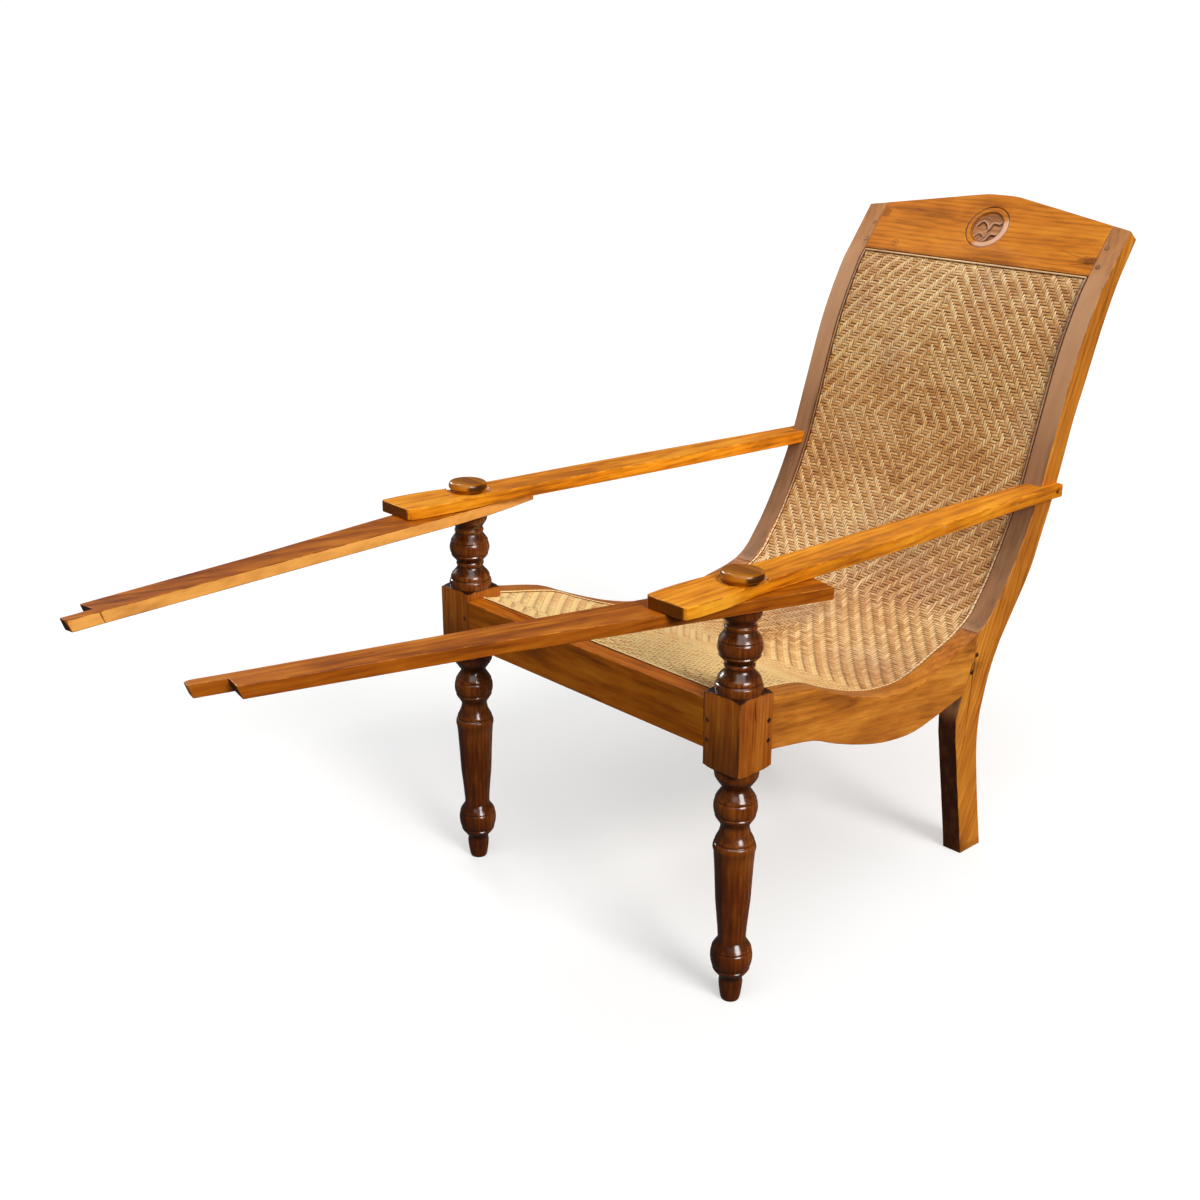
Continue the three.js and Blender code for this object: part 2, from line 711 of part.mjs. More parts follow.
// Side view of the arm: a top and an underside of slightly different slopes
function armSide(end) {
  const front = -armFront - overrun;
  const back = end + overrun;
  const outline = [
    new THREE.Vector2(front, armLevel - armThickness - restSlopeShare * front),
    new THREE.Vector2(back, armLevel - armThickness - restSlopeShare * back),
    new THREE.Vector2(back, armLevel - armSlopeShare * back),
    new THREE.Vector2(front, armLevel - armSlopeShare * front),
  ];
  return prism(outline, 0, seatWidth, sideBasis);
}

// Two points that cut a corner straight off
function cornerCut(before, corner, after) {
  const first = corner.clone().addScaledVector(before.clone().sub(corner).normalize(), armCornerCut);
  const second = corner.clone().addScaledVector(after.clone().sub(corner).normalize(), armCornerCut);
  return [first, second];
}

// A round at a corner, of the tongue's radius
function roundCorner(before, corner, after) {
  const first = corner.clone().addScaledVector(before.clone().sub(corner).normalize(), armTongueRound);
  const second = corner.clone().addScaledVector(after.clone().sub(corner).normalize(), armTongueRound);
  return new THREE.QuadraticBezierCurve(first, corner, second).getPoints(roundSteps);
}

// Leg rest for the sitter's left, in its own frame: it points along minus y from its pivot
function legRest() {
  const inner = smooth(restEdgeShares.map(([place, value]) => [place, value]));
  const outer = smooth(restEdgeShares.map(([place, , value]) => [place, value]));
  const edge = (share, half) => new THREE.Vector2(half * restWidth, -share * restReach);
  const innerEdge = restStationShares.map((share) => edge(share, -inner(share)));
  const outerEdge = restStationShares.map((share) => edge(share, outer(share)));
  const board = prism([...innerEdge, ...outerEdge.reverse()], 0, restThickness, planBasis);
  const side = -inner(1) * restWidth;
  const tip = -restReach - restTongue;
  const root = -restReach + restBevel * 2;
  const nose = new THREE.QuadraticBezierCurve(
    new THREE.Vector2(side, tip + restTongueRound * 2), new THREE.Vector2(side, tip),
    new THREE.Vector2(side + restTongueRound, tip));
  const tongue = prism([
    new THREE.Vector2(side, root), ...nose.getPoints(roundSteps),
    new THREE.Vector2(side + restTongueWidth, tip), new THREE.Vector2(side + restTongueWidth, root),
  ], 0, restThickness, planBasis);
  const pivot = rod(dowelRadius + pivotGap, new THREE.Vector3(0, 0, -overrun),
    new THREE.Vector3(0, 0, overrun), dowelSides);
  const bevelled = join([cut(board, [endBevel(-restReach)]), cut(tongue, [endBevel(tip)])]);
  return cut(bevelled, [pivot]);
}

// Wedge that leans the end face of the leg rest back under its top edge
function endBevel(endY) {
  const outline = [
    new THREE.Vector2(endY, restThickness), new THREE.Vector2(endY + restBevel, 0),
    new THREE.Vector2(endY + restBevel, -restThickness), new THREE.Vector2(endY - overrun, -restThickness),
    new THREE.Vector2(endY - overrun, restThickness),
  ];
  return prism(outline, -restWidth, restWidth, sideBasis);
}

// Knob over the end of the dowel, in its own frame with the floor of its recess at zero
function armCap() {
  const points = capShares.map(([r, z]) => new THREE.Vector2(r * capRadius, z * capWhole));
  const socket = rod(dowelRadius + 2 * fitGap, new THREE.Vector3(0, 0, -overrun),
    new THREE.Vector3(0, 0, capSink + dowelSeat + fitGap), dowelSides);
  return cut(turned(points, legSides), [socket]);
}

// Finishes, with colours from the wood and cane in the photograph
const oiledTeak = () => new THREE.MeshStandardMaterial({ color: 0xb9691d, roughness: 0.42, metalness: 0 });
const armTeak = () => new THREE.MeshStandardMaterial({ color: 0xcf7c1c, roughness: 0.34, metalness: 0 });
const railTeak = () => new THREE.MeshStandardMaterial({ color: 0x9a581f, roughness: 0.45, metalness: 0 });
const darkTeak = () => new THREE.MeshStandardMaterial({ color: 0x5a3013, roughness: 0.28, metalness: 0 });
const pegTeak = () => new THREE.MeshStandardMaterial({ color: 0x4a2a12, roughness: 0.5, metalness: 0 });
const cane = () => new THREE.MeshStandardMaterial({ color: 0xc79a58, roughness: 0.55, metalness: 0 });
const paleCane = () => new THREE.MeshStandardMaterial({ color: 0xd9b57c, roughness: 0.5, metalness: 0 });

function piece(name, geometry, material) {
  const mesh = new THREE.Mesh(geometry, material);
  mesh.name = name;
  return mesh;
}

// A piece and its mirror image on the sitter's right
function pair(name, body, material) {
  return [
    piece(`${name}_left`, shaped(body, false), material()),
    piece(`${name}_right`, shaped(body, true), material()),
  ];
}

// A leg rest on its pivot: tilted with the underside of the arm, then turned inward
function restOnPivot(name, side, yaw) {
  const pivot = new THREE.Group();
  pivot.position.set(side * legX, 0, restBottom);
  pivot.rotation.x = -Math.atan(restSlopeShare);
  const board = piece(name, shaped(legRest(), side < 0), oiledTeak());
  board.rotation.z = -side * yaw;
  pivot.add(board);
  return pivot;
}

function capOnArm(name, side) {
  const cap = piece(name, shaped(armCap(), side < 0), darkTeak());
  const seat = new THREE.Vector3(side * legX, 0, armLevel);
  cap.position.copy(seat.addScaledVector(armNormal, fitGap - capSink));
  cap.rotation.x = -Math.atan(armSlopeShare);
  return cap;
}

const chair = new THREE.Group();
chair.add(...pair('front_leg', frontLeg(), darkTeak));
chair.add(piece('front_rail', shaped(frontRail(), false), railTeak()));
chair.add(...pair('side_rail', sideRail(), railTeak));
chair.add(...pair('back_post', backPost(), oiledTeak));
chair.add(piece('crest_rail', shaped(crestRail(), false), oiledTeak()));
chair.add(piece('seat_stretcher', shaped(seatStretcher(), false), railTeak()));
chair.add(piece('cane_sling', shaped(caneSling(), false), cane()));
chair.add(...pair('cane_batten', sideStrip(underCane, underCane - battenDepth, battenWidth), railTeak));
chair.add(piece('cane_batten_front',
  shaped(frontStrip(underCane, underCane - battenDepth, battenWidth), false), railTeak()));
chair.add(piece('cane_batten_top',
  shaped(topStrip(underCane, underCane - battenDepth, battenWidth, battenWidth), false), railTeak()));
chair.add(...pair('cane_binding', sideStrip(overCane + bindingThickness, overCane, bindingWidth), paleCane));
chair.add(piece('cane_binding_front',
  shaped(frontStrip(overCane + bindingThickness, overCane, bindingWidth), false), paleCane()));
chair.add(piece('cane_binding_top',
  shaped(topStrip(overCane + bindingThickness, overCane, bindingWidth, bindingWidth), false), paleCane()));
chair.add(...pair('arm', arm(), armTeak));
chair.add(capOnArm('arm_cap_left', 1), capOnArm('arm_cap_right', -1));
chair.add(restOnPivot('leg_rest_left', 1, restYawLeft));
chair.add(restOnPivot('leg_rest_right', -1, restYawRight));
for (const peg of pegs) chair.add(...pair(peg.name, pegBody(peg), pegTeak));

// The origin lies on the floor under the middle of the chair
const bounds = new THREE.Box3().setFromObject(chair, true);
const middle = bounds.getCenter(new THREE.Vector3());
chair.position.set(-middle.x, -middle.y, -bounds.min.z);
chair.updateMatrixWorld(true);

export default chair;
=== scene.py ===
import json
import math
from collections import namedtuple

import bmesh
import bpy
import numpy as np
from mathutils import Euler, Matrix, Vector
from mathutils.bvhtree import BVHTree

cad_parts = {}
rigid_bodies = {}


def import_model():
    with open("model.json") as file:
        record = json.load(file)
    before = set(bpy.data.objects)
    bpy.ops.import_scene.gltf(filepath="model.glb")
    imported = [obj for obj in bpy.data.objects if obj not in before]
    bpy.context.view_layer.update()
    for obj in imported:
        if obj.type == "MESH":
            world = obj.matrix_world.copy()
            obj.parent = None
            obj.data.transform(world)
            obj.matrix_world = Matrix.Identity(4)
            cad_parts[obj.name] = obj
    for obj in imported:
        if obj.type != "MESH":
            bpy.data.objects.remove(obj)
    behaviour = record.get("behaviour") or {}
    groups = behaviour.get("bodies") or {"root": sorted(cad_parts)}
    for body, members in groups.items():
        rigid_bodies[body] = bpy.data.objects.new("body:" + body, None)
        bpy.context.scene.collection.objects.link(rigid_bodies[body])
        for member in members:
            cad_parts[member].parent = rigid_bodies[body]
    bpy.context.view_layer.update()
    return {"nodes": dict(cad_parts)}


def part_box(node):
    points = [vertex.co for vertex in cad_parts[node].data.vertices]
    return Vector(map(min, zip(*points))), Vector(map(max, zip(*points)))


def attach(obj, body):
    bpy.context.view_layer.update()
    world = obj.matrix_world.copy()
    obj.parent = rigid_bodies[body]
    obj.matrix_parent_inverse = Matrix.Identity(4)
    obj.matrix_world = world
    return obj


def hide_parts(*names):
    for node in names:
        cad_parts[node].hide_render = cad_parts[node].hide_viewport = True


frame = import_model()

# A planters chair: turned front legs under flat arms, a long woven cane seat and back between
# curved rails and posts, a carved crest, and two leg rests that swing under the arms.
NODES = frame["nodes"]
CHAIR = "chair_frame"
SIDES = ((1, "left"), (-1, "right"))
MM = 0.001
SEED = 11

# From the frame of the measured sizes, where the front legs stand at y = 0, to the parts' frame
LEFT_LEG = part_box("front_leg_left")
RIGHT_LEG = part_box("front_leg_right")
SHIFT = Vector(((LEFT_LEG[0].x + RIGHT_LEG[1].x) / 2, (LEFT_LEG[0].y + LEFT_LEG[1].y) / 2, 0))

# Sizes in millimetres, the same as those of the solids
LEG_X = 280
LEG_RADIUS = 30
BLOCK_SIDE = 64
BLOCK_BOTTOM = 358
BLOCK_TOP = 468
BLOCK_ROUND = 7
COLLAR_TOP = 584.5
COLLAR_SHARE = 0.933
REST_SLOPE = 0.037
ARM_LEVEL = 620
ARM_SLOPE = 0.034
CAP_RADIUS = 28.5
CAP_SINK = 2.2
CAP_WHOLE = 16.2
DOWEL_RADIUS = 11
SEAT_FRONT = -4
SEAT_DEPTH = 406
SEAT_LOW = 350
SEAT_DIP = 109
BACK_REACH = 450
BACK_RISE = 555
BACK_LEAN = math.atan(0.974 * BACK_REACH / BACK_RISE)
RAIL_INNER_FRONT = 266
BLOCK_BACK = 32
POST_JOINT_Y = 577
POST_INNER = 222
BLOCK_INNER = 248
ROUNDEL_UP = 66
ROUNDEL_FIELD = 28.5
ROUNDEL_SINK = 3
ENDS = ("left", "right", "front", "top")

SEAT_FRONT_SHARES = (
    (0, 1), (0.176, 0.88), (0.364, 0.734), (0.487, 0.532), (0.609, 0.34), (0.726, 0.183),
    (0.851, 0.064), (1, 0),
)
SEAT_BACK_SHARES = (
    (0.12, 0.011), (0.236, 0.032), (0.351, 0.053), (0.438, 0.088), (0.498, 0.144),
    (0.547, 0.198), (0.631, 0.3135), (0.7, 0.436), (0.758, 0.573), (0.853, 0.791),
    (0.949, 0.944), (1, 1),
)
LEG_TURNING_SHARES = (
    (0, 0), (0.41, 0), (0.453, 0.0084), (0.56, 0.081), (0.533, 0.1006), (0.62, 0.112),
    (0.873, 0.1425), (0.84, 0.148), (0.893, 0.1536), (0.98, 0.19), (0.943, 0.2207),
    (0.903, 0.2263), (0.92, 0.2318), (0.673, 0.2654), (0.653, 0.2737), (0.807, 0.436),
    (0.947, 0.651), (0.99, 0.6676), (0.947, 0.6844), (0.887, 0.69), (0.907, 0.6955),
    (0.75, 0.7235), (0.66, 0.7542), (0.693, 0.7682), (0.933, 0.8017), (0.9, 0.8073),
    (0.953, 0.8128), (1, 0.838), (0.96, 0.8617), (0.92, 0.8673), (0.933, 0.873),
    (0.68, 0.9078), (0.643, 0.919), (0.733, 0.9316), (0.977, 0.9637), (1.01, 0.9832),
    (1.01, 1), (0, 1),
)
BALUSTER_SHARES = (
    (0, 0), (1.067, 0), (1.08, 0.0427), (1.04, 0.094), (0.98, 0.111), (1, 0.1282),
    (0.947, 0.171), (0.753, 0.231), (0.647, 0.278), (0.693, 0.303), (0.693, 0.329),
    (0.66, 0.346), (0.94, 0.436), (0.907, 0.453), (0.96, 0.47), (1.015, 0.53),
    (0.965, 0.598), (0.93, 0.6154), (0.945, 0.6325), (0.693, 0.731), (0.73, 0.756),
    (0.73, 0.782), (0.68, 0.8), (0.753, 0.846), (0.9, 0.902), (0.933, 0.932), (0.933, 1),
)
CAP_SHARES = (
    (0, 0), (0.8, 0), (0.84, 0.18), (0.985, 0.36), (1.01, 0.58), (0.985, 0.8), (0.93, 0.93),
    (0.86, 0.985), (0.8, 1), (0.74, 1), (0, 1),
)

# The woven cane in millimetres: its middle layer under the seat line, its strands, and how far
# along the seat line its pattern has its two middles
CANE_MIDDLE = -3.4
CANE_INSET = 4.9
# The sheet of painted shade inside the weave: its half thickness, how far it stops short of the
# ends, and its columns and rows
CORE_HALF, CORE_END, CORE_COLUMNS, CORE_ROWS = 0.1, 1.5, 9, 240
LONG_STRANDS = 104
STRAND_PITCH = 5.0
STRANDS_OVER = 3.0
STRAND_RISE = 1.0
LONG_STRAY, CROSS_STRAY = 0.2, 0.25
LONG_HALF_WIDTH, LONG_HALF_THICKNESS = 2.12, 0.62
CROSS_HALF_WIDTH, CROSS_HALF_THICKNESS = 2.46, 0.58
STRAND_END = 1.8
END_DROP = 0.9
END_GIRTH = 0.9
SEAT_MIDDLE_S, BACK_MIDDLE_S = 330, 915
MIDDLE_TO_RIGHT = 4.0

# The laced strand round the cane, the pegs and the nails in the arms, in millimetres
BORDER_INSET, BORDER_LIFT, FRONT_DROP = 3.0, -0.3, 1.4
BORDER_START, BORDER_STEP, BORDER_CORNER = 30, 6.0, 3
BORDER_SHADE_HEIGHTS, FRONT_BORDER_S = (430, 560), 1.9
BORDER_HALF_WIDTH, BORDER_HALF_HEIGHT, LOOP_STEP = 1.7, 0.9, 9.5
LOOP_HALF_SIZE, LOOP_LIFT, LOOP_SLANT = (2.6, 0.9, 0.9), 0.25, 0.35
SHADE_CORDS = ((2.3, 1.0), (-2.2, 0.8))
PEG_RADIUS, PEG_LENGTH = 3.45, 16
NAIL_RADIUS, NAIL_FLATNESS = 1.5, 0.3
NAIL_PLACES = ((304, 7.5), (424, 5.5), (625, 8.5))


def place(x, y, z):
    """A measured point in millimetres as a point of the parts' frame in metres."""
    return Vector((x * MM, y * MM, z * MM)) + SHIFT


UP_CREST = Vector((0, math.sin(BACK_LEAN), math.cos(BACK_LEAN)))
OUT_OF_CREST = Vector((0, -math.cos(BACK_LEAN), math.sin(BACK_LEAN)))


def on_crest(across, up, out=0.0):
    """A point across, up and out of the front of the crest rail, from the top edge of the cane."""
    edge = place(across, SEAT_FRONT + SEAT_DEPTH + BACK_REACH, SEAT_LOW + BACK_RISE)
    return edge + UP_CREST * (up * MM) + OUT_OF_CREST * (out * MM)


# Camera, at the photograph's viewing angle

CAMERA_PLACE = (1596.08, -1462.17, 1310.58)
CAMERA_AZIMUTH, CAMERA_PITCH, CAMERA_ROLL = 0.82499, 0.35116, 0.00188
FOCAL_SHARE = 1633.32 / 1200
SENSOR_WIDTH = 36


def make_camera():
    """A camera at the place and angle that the photograph was taken from."""
    back = Vector((
        math.sin(CAMERA_AZIMUTH) * math.cos(CAMERA_PITCH),
        -math.cos(CAMERA_AZIMUTH) * math.cos(CAMERA_PITCH),
        math.sin(CAMERA_PITCH)))
    right = Vector((math.cos(CAMERA_AZIMUTH), math.sin(CAMERA_AZIMUTH), 0))
    turn = Matrix((right, back.cross(right), back)).transposed()
    turn = (turn @ Matrix.Rotation(-CAMERA_ROLL, 3, "Z")).to_4x4()
    data = bpy.data.cameras.new("view_camera")
    data.sensor_width = SENSOR_WIDTH
    data.lens = FOCAL_SHARE * SENSOR_WIDTH
    data.clip_end = 1000
    camera = link("view_camera", data)
    camera.matrix_world = Matrix.Translation(place(*CAMERA_PLACE)) @ turn
    bpy.context.scene.camera = camera


# Node trees

class Term:
    """A number that varies from place to place, written in formulas like a plain number."""

    def __init__(self, maker, socket):
        self.maker = maker
        self.socket = socket

    def __add__(self, other):
        return self.maker.math("ADD", self, other)

    __radd__ = __add__

    def __sub__(self, other):
        return self.maker.math("SUBTRACT", self, other)

    def __rsub__(self, other):
        return self.maker.math("SUBTRACT", other, self)

    def __mul__(self, other):
        return self.maker.math("MULTIPLY", self, other)

    __rmul__ = __mul__

    def __truediv__(self, other):
        return self.maker.math("DIVIDE", self, other)

    def __pow__(self, other):
        return self.maker.math("POWER", self, other)

    def __mod__(self, other):
        return self.maker.math("FLOORED_MODULO", self, other)

    def __lt__(self, other):
        return self.maker.math("LESS_THAN", self, other)

    def __abs__(self):
        return self.maker.math("ABSOLUTE", self)

    def least(self, other):
        return self.maker.math("MINIMUM", self, other)

    def within(self, low, high):
        return self.maker.math("MAXIMUM", self.least(high), low)

    def step(self, low, high):
        """Rises smoothly from 0 to 1 as the number goes from low to high."""
        return Term(self.maker, self.maker.node(
            "ShaderNodeMapRange", {"interpolation_type": "SMOOTHSTEP"}, {0: self, 1: low, 2: high}))


class NodeMaker:
    """Builds a node tree node by node."""

    def __init__(self, tree):
        self.tree = tree

    def node(self, kind, settings=None, inputs=None, output=0):
        """Adds a node: its settings first, then its sockets. Gives one output, or all for None."""
        made = self.tree.nodes.new(kind)
        for key, value in (settings or {}).items():
            if key == "stops":
                self.set_stops(made.color_ramp, value)
            else:
                setattr(made, key, value)
        for key, value in (inputs or {}).items():
            self.feed(made.inputs[key], value)
        return made.outputs if output is None else made.outputs[output]

    def feed(self, socket, value):
        """Links a socket to a term or another socket, or gives it a constant."""
        if isinstance(value, Term):
            value = value.socket
        if isinstance(value, bpy.types.NodeSocket):
            self.tree.links.new(value, socket)
        elif socket.type == "RGBA":
            socket.default_value = (*value, 1)
        else:
            socket.default_value = value

    def set_stops(self, ramp, stops):
        while len(ramp.elements) < len(stops):
            ramp.elements.new(1.0)
        for element, (position, colour) in zip(ramp.elements, stops):
            element.position = position
            element.color = (*colour, 1)

    def math(self, operation, *terms):
        made = self.node("ShaderNodeMath", {"operation": operation}, dict(enumerate(terms)))
        return Term(self, made)

    def dot(self, first, second):
        return Term(self, self.node(
            "ShaderNodeVectorMath", {"operation": "DOT_PRODUCT"}, {0: first, 1: second}, "Value"))

    def part(self, vector, axis):
        """One number of a vector: 0 for x, 1 for y, 2 for z."""
        return Term(self, self.node("ShaderNodeSeparateXYZ", None, {0: vector}, axis))


class Finish(NodeMaker):
    """A material on a piece's own coordinates."""

    def __init__(self, name):
        self.material = bpy.data.materials.new(name)
        self.material.use_nodes = True
        super().__init__(self.material.node_tree)
        self.tree.nodes.clear()
        coordinates = self.node("ShaderNodeTexCoord", output=None)
        self.objects = coordinates["Object"]
        self.normal = coordinates["Normal"]

    def mapped(self, centre, turn, scale=(1, 1, 1)):
        """Object coordinates about a centre, turned into a piece's own directions and stretched."""
        moved = self.node("ShaderNodeMapping", {"vector_type": "TEXTURE"}, {
            "Vector": self.objects, "Location": tuple(centre), "Rotation": tuple(turn)})
        return self.stretched(moved, scale)

    def stretched(self, vector, scale):
        return self.node(
            "ShaderNodeVectorMath", {"operation": "MULTIPLY"}, {0: vector, 1: tuple(scale)})

    def noise(self, vector, scale=1.0, detail=2.0, roughness=0.5):
        return Term(self, self.node("ShaderNodeTexNoise", {"noise_dimensions": "3D"}, {
            "Vector": vector, "Scale": scale, "Detail": detail, "Roughness": roughness}))

    def marks(self, vector, stretch, detail=2.0, roughness=0.5):
        """Noise that a stretch draws out along the grain."""
        return self.noise(self.stretched(vector, stretch), 1.0, detail, roughness)

    def facing(self, vector, direction):
        """How far a face or a point lies in a direction."""
        return self.dot(vector, tuple(Vector(direction).normalized()))

    def length(self, vector):
        return Term(self, self.node(
            "ShaderNodeVectorMath", {"operation": "LENGTH"}, {0: vector}, "Value"))

    def attribute(self, name):
        return Term(self, self.node("ShaderNodeAttribute", {"attribute_name": name}, None, "Fac"))

    def ramp(self, term, stops):
        return self.node("ShaderNodeValToRGB", {"stops": stops}, {0: term})

    def mix(self, share, first, second, blend="MIX"):
        return self.node(
            "ShaderNodeMix", {"data_type": "RGBA", "blend_type": blend, "clamp_factor": True},
            {0: share, 6: first, 7: second}, 2)

    def close(self, colour, roughness, relief=None, **constants):
        """Ends the material in one shader. Relief is a height, its strength and its distance."""
        inputs = {key.replace("_", " "): value for key, value in constants.items()}
        inputs.update({"Base Color": colour, "Roughness": roughness})
        if relief:
            inputs["Normal"] = self.node(
                "ShaderNodeBump", None, dict(zip(("Height", "Strength", "Distance"), relief)))
        shader = self.node("ShaderNodeBsdfPrincipled", None, inputs)
        self.node("ShaderNodeOutputMaterial", None, {0: shader}, None)
        return self.material


class Tree(NodeMaker):
    """A Geometry Nodes tree with named inputs."""

    def __init__(self, name, numbers, materials=("Material",)):
        super().__init__(bpy.data.node_groups.new(name, "GeometryNodeTree"))
        face = self.tree.interface
        face.new_socket("Geometry", in_out="INPUT", socket_type="NodeSocketGeometry")
        self.names = {}
        for kind, keys in (("NodeSocketFloat", numbers), ("NodeSocketMaterial", materials)):
            for key in keys:
                made = face.new_socket(key, in_out="INPUT", socket_type=kind)
                self.names[key] = made.identifier
        face.new_socket("Geometry", in_out="OUTPUT", socket_type="NodeSocketGeometry")
        self.enter = self.node("NodeGroupInput", output=None)

    def given(self, name):
        """One of the tree's inputs."""
        return Term(self, self.enter[name])

    def named(self, name, kind="FLOAT"):
        """A mark that is stored on the geometry."""
        return Term(self, self.node(
            "GeometryNodeInputNamedAttribute", {"data_type": kind}, {"Name": name}))

    def store(self, geometry, name, value):
        return self.node(
            "GeometryNodeStoreNamedAttribute", {"data_type": "FLOAT", "domain": "POINT"},
            {"Geometry": geometry, "Name": name, "Value": value})

    def chance(self, number, seed):
        """A random number from 0 to 1 that stays the same for the same number."""
        return Term(self, self.node(
            "FunctionNodeRandomValue", {"data_type": "FLOAT"}, {"ID": number, "Seed": seed}, 1))

    def scaled(self, vector, size):
        return self.node(
            "ShaderNodeVectorMath", {"operation": "SCALE"}, {0: vector, "Scale": size})

    def sized(self, geometry, x, y, z):
        size = self.node("ShaderNodeCombineXYZ", None, {0: x, 1: y, 2: z})
        return self.node("GeometryNodeTransform", None, {"Geometry": geometry, "Scale": size})

    def moved(self, geometry, offset):
        return self.node(
            "GeometryNodeSetPosition", None, {"Geometry": geometry, "Offset": offset})

    def curves(self, mesh, normal):
        """Curves along the edges of a mesh, with given upward directions."""
        curves = self.node("GeometryNodeMeshToCurve", None, {"Mesh": mesh})
        return self.node(
            "GeometryNodeSetCurveNormal", {"mode": "FREE"}, {"Curve": curves, "Normal": normal})

    def swept(self, path, profile, scale):
        """A profile swept along a path, closed at both ends."""
        return self.node("GeometryNodeCurveToMesh", None, {
            "Curve": path, "Profile Curve": profile, "Scale": scale, "Fill Caps": True})

    def copies(self, points, piece, turn, scale=(1, 1, 1)):
        return self.node("GeometryNodeInstanceOnPoints", None, {
            "Points": points, "Instance": piece, "Rotation": turn, "Scale": scale})

    def realized(self, geometry):
        return self.node("GeometryNodeRealizeInstances", None, {"Geometry": geometry})

    def painted(self, geometry, material):
        return self.node(
            "GeometryNodeSetMaterial", None, {"Geometry": geometry, "Material": material})

    def joined(self, *pieces):
        gathered = self.node("GeometryNodeJoinGeometry")
        for piece in pieces:
            self.feed(gathered.node.inputs[0], piece)
        return gathered

    def leave(self, geometry):
        self.node("NodeGroupOutput", None, {0: geometry}, None)
        return self

    def run(self, piece, name, values):
        """Runs the tree on a piece with the values of its inputs and returns the plain result."""
        modifier = piece.modifiers.new("made", "NODES")
        modifier.node_group = self.tree
        for key, value in values.items():
            modifier[self.names[key]] = value
        return evaluated(piece, name)


# Finishes

# Each wood has its dark line, its body and its pale tone, then its roughness, its polish and how
# strong its figure is
Timber = namedtuple("Timber", "dark body pale rough coat figure")
WOODS = {
    "honey": Timber((0.22, 0.052, 0.004), (0.52, 0.165, 0.012), (0.76, 0.3, 0.03), 0.42, 0.06, 1.0),
    "gold": Timber((0.34, 0.085, 0.003), (0.74, 0.235, 0.004), (0.95, 0.4, 0.02), 0.38, 0.08, 1.2),
    "bright": Timber((0.27, 0.068, 0.003), (0.67, 0.2, 0.004), (0.87, 0.33, 0.02), 0.46, 0.03, 0.9),
    "russet": Timber((0.17, 0.036, 0.001), (0.4, 0.1, 0.001), (0.6, 0.2, 0.008), 0.4, 0.08, 1.3),
    "amber": Timber((0.18, 0.04, 0.002), (0.49, 0.122, 0.001), (0.68, 0.22, 0.01), 0.42, 0.06, 1.0),
    "block": Timber((0.05, 0.01, 0.001), (0.33, 0.08, 0.005), (0.52, 0.165, 0.015), 0.4, 0.08, 0.9),
    "umber": Timber(
        (0.02, 0.0035, 0.0003), (0.115, 0.022, 0.001), (0.31, 0.085, 0.006), 0.25, 0.65, 0.6),
    "cap": Timber((0.12, 0.03, 0.001), (0.34, 0.105, 0.002), (0.55, 0.2, 0.01), 0.3, 0.3, 0.6),
    "carved": Timber((0.13, 0.036, 0.008), (0.4, 0.15, 0.045), (0.6, 0.28, 0.12), 0.5, 0.0, 0.6),
    "worn": Timber((0.2, 0.08, 0.03), (0.42, 0.21, 0.1), (0.55, 0.32, 0.17), 0.5, 0.0, 0.4),
    "peg": Timber((0.05, 0.015, 0.004), (0.12, 0.036, 0.008), (0.2, 0.07, 0.016), 0.5, 0.1, 0.4),
}
# The first colour is painted highlight on the carved lips, the second that of the pale arc round
# the roundel
LIP_HIGHLIGHT = (0.85, 0.52, 0.34)
PALE_ARC_COLOUR = (0.85, 0.52, 0.36)
POLISH_ROUGHNESS = 0.14
POLISH_SPECULAR = 0.24

# How finely each mark of the wood repeats along the grain, across it and through it
SWAY, DRIFT, FAINT = (1.8, 7, 7), (6, 30, 30), (3, 25, 25)
FIBRE, FLECK, STREAK = (14, 420, 420), (22, 190, 190), (3, 60, 60)
PORE, BLOTCH = (55, 1300, 1300), (6, 15, 15)


def deeper(colour, share=0.4):
    """A colour darkened to a share of itself."""
    return [part * share for part in colour]


def late_wood(finish, local, pith, ring):
    """The dark part of each growth ring. Pith and ring are in millimetres."""
    sway = finish.marks(local, SWAY, 2.0)
    drift = finish.marks(local, DRIFT, 3.0)
    across = (finish.part(local, 1) + pith[0] * MM + (sway - 0.5) * 0.045
              + (drift - 0.5) * 0.006)
    deep = finish.part(local, 2) + pith[1] * MM + (sway - 0.5) * 0.03
    turns = (across * across + deep * deep) ** 0.5 * (2 * math.pi / (ring * MM))
    return (finish.math("SINE", turns) * 0.5 + 0.5) ** 2.5


def ring_share(finish, flat, radius, width, full):
    """1 on a ring round the middle of flat coordinates, on the front of the board only."""
    off = (finish.length(flat) - radius) * (1 / width)
    front = 1 - finish.part(flat, 1).step(6, 9)
    return (1 - abs(off).step(full, 1.0)) * front


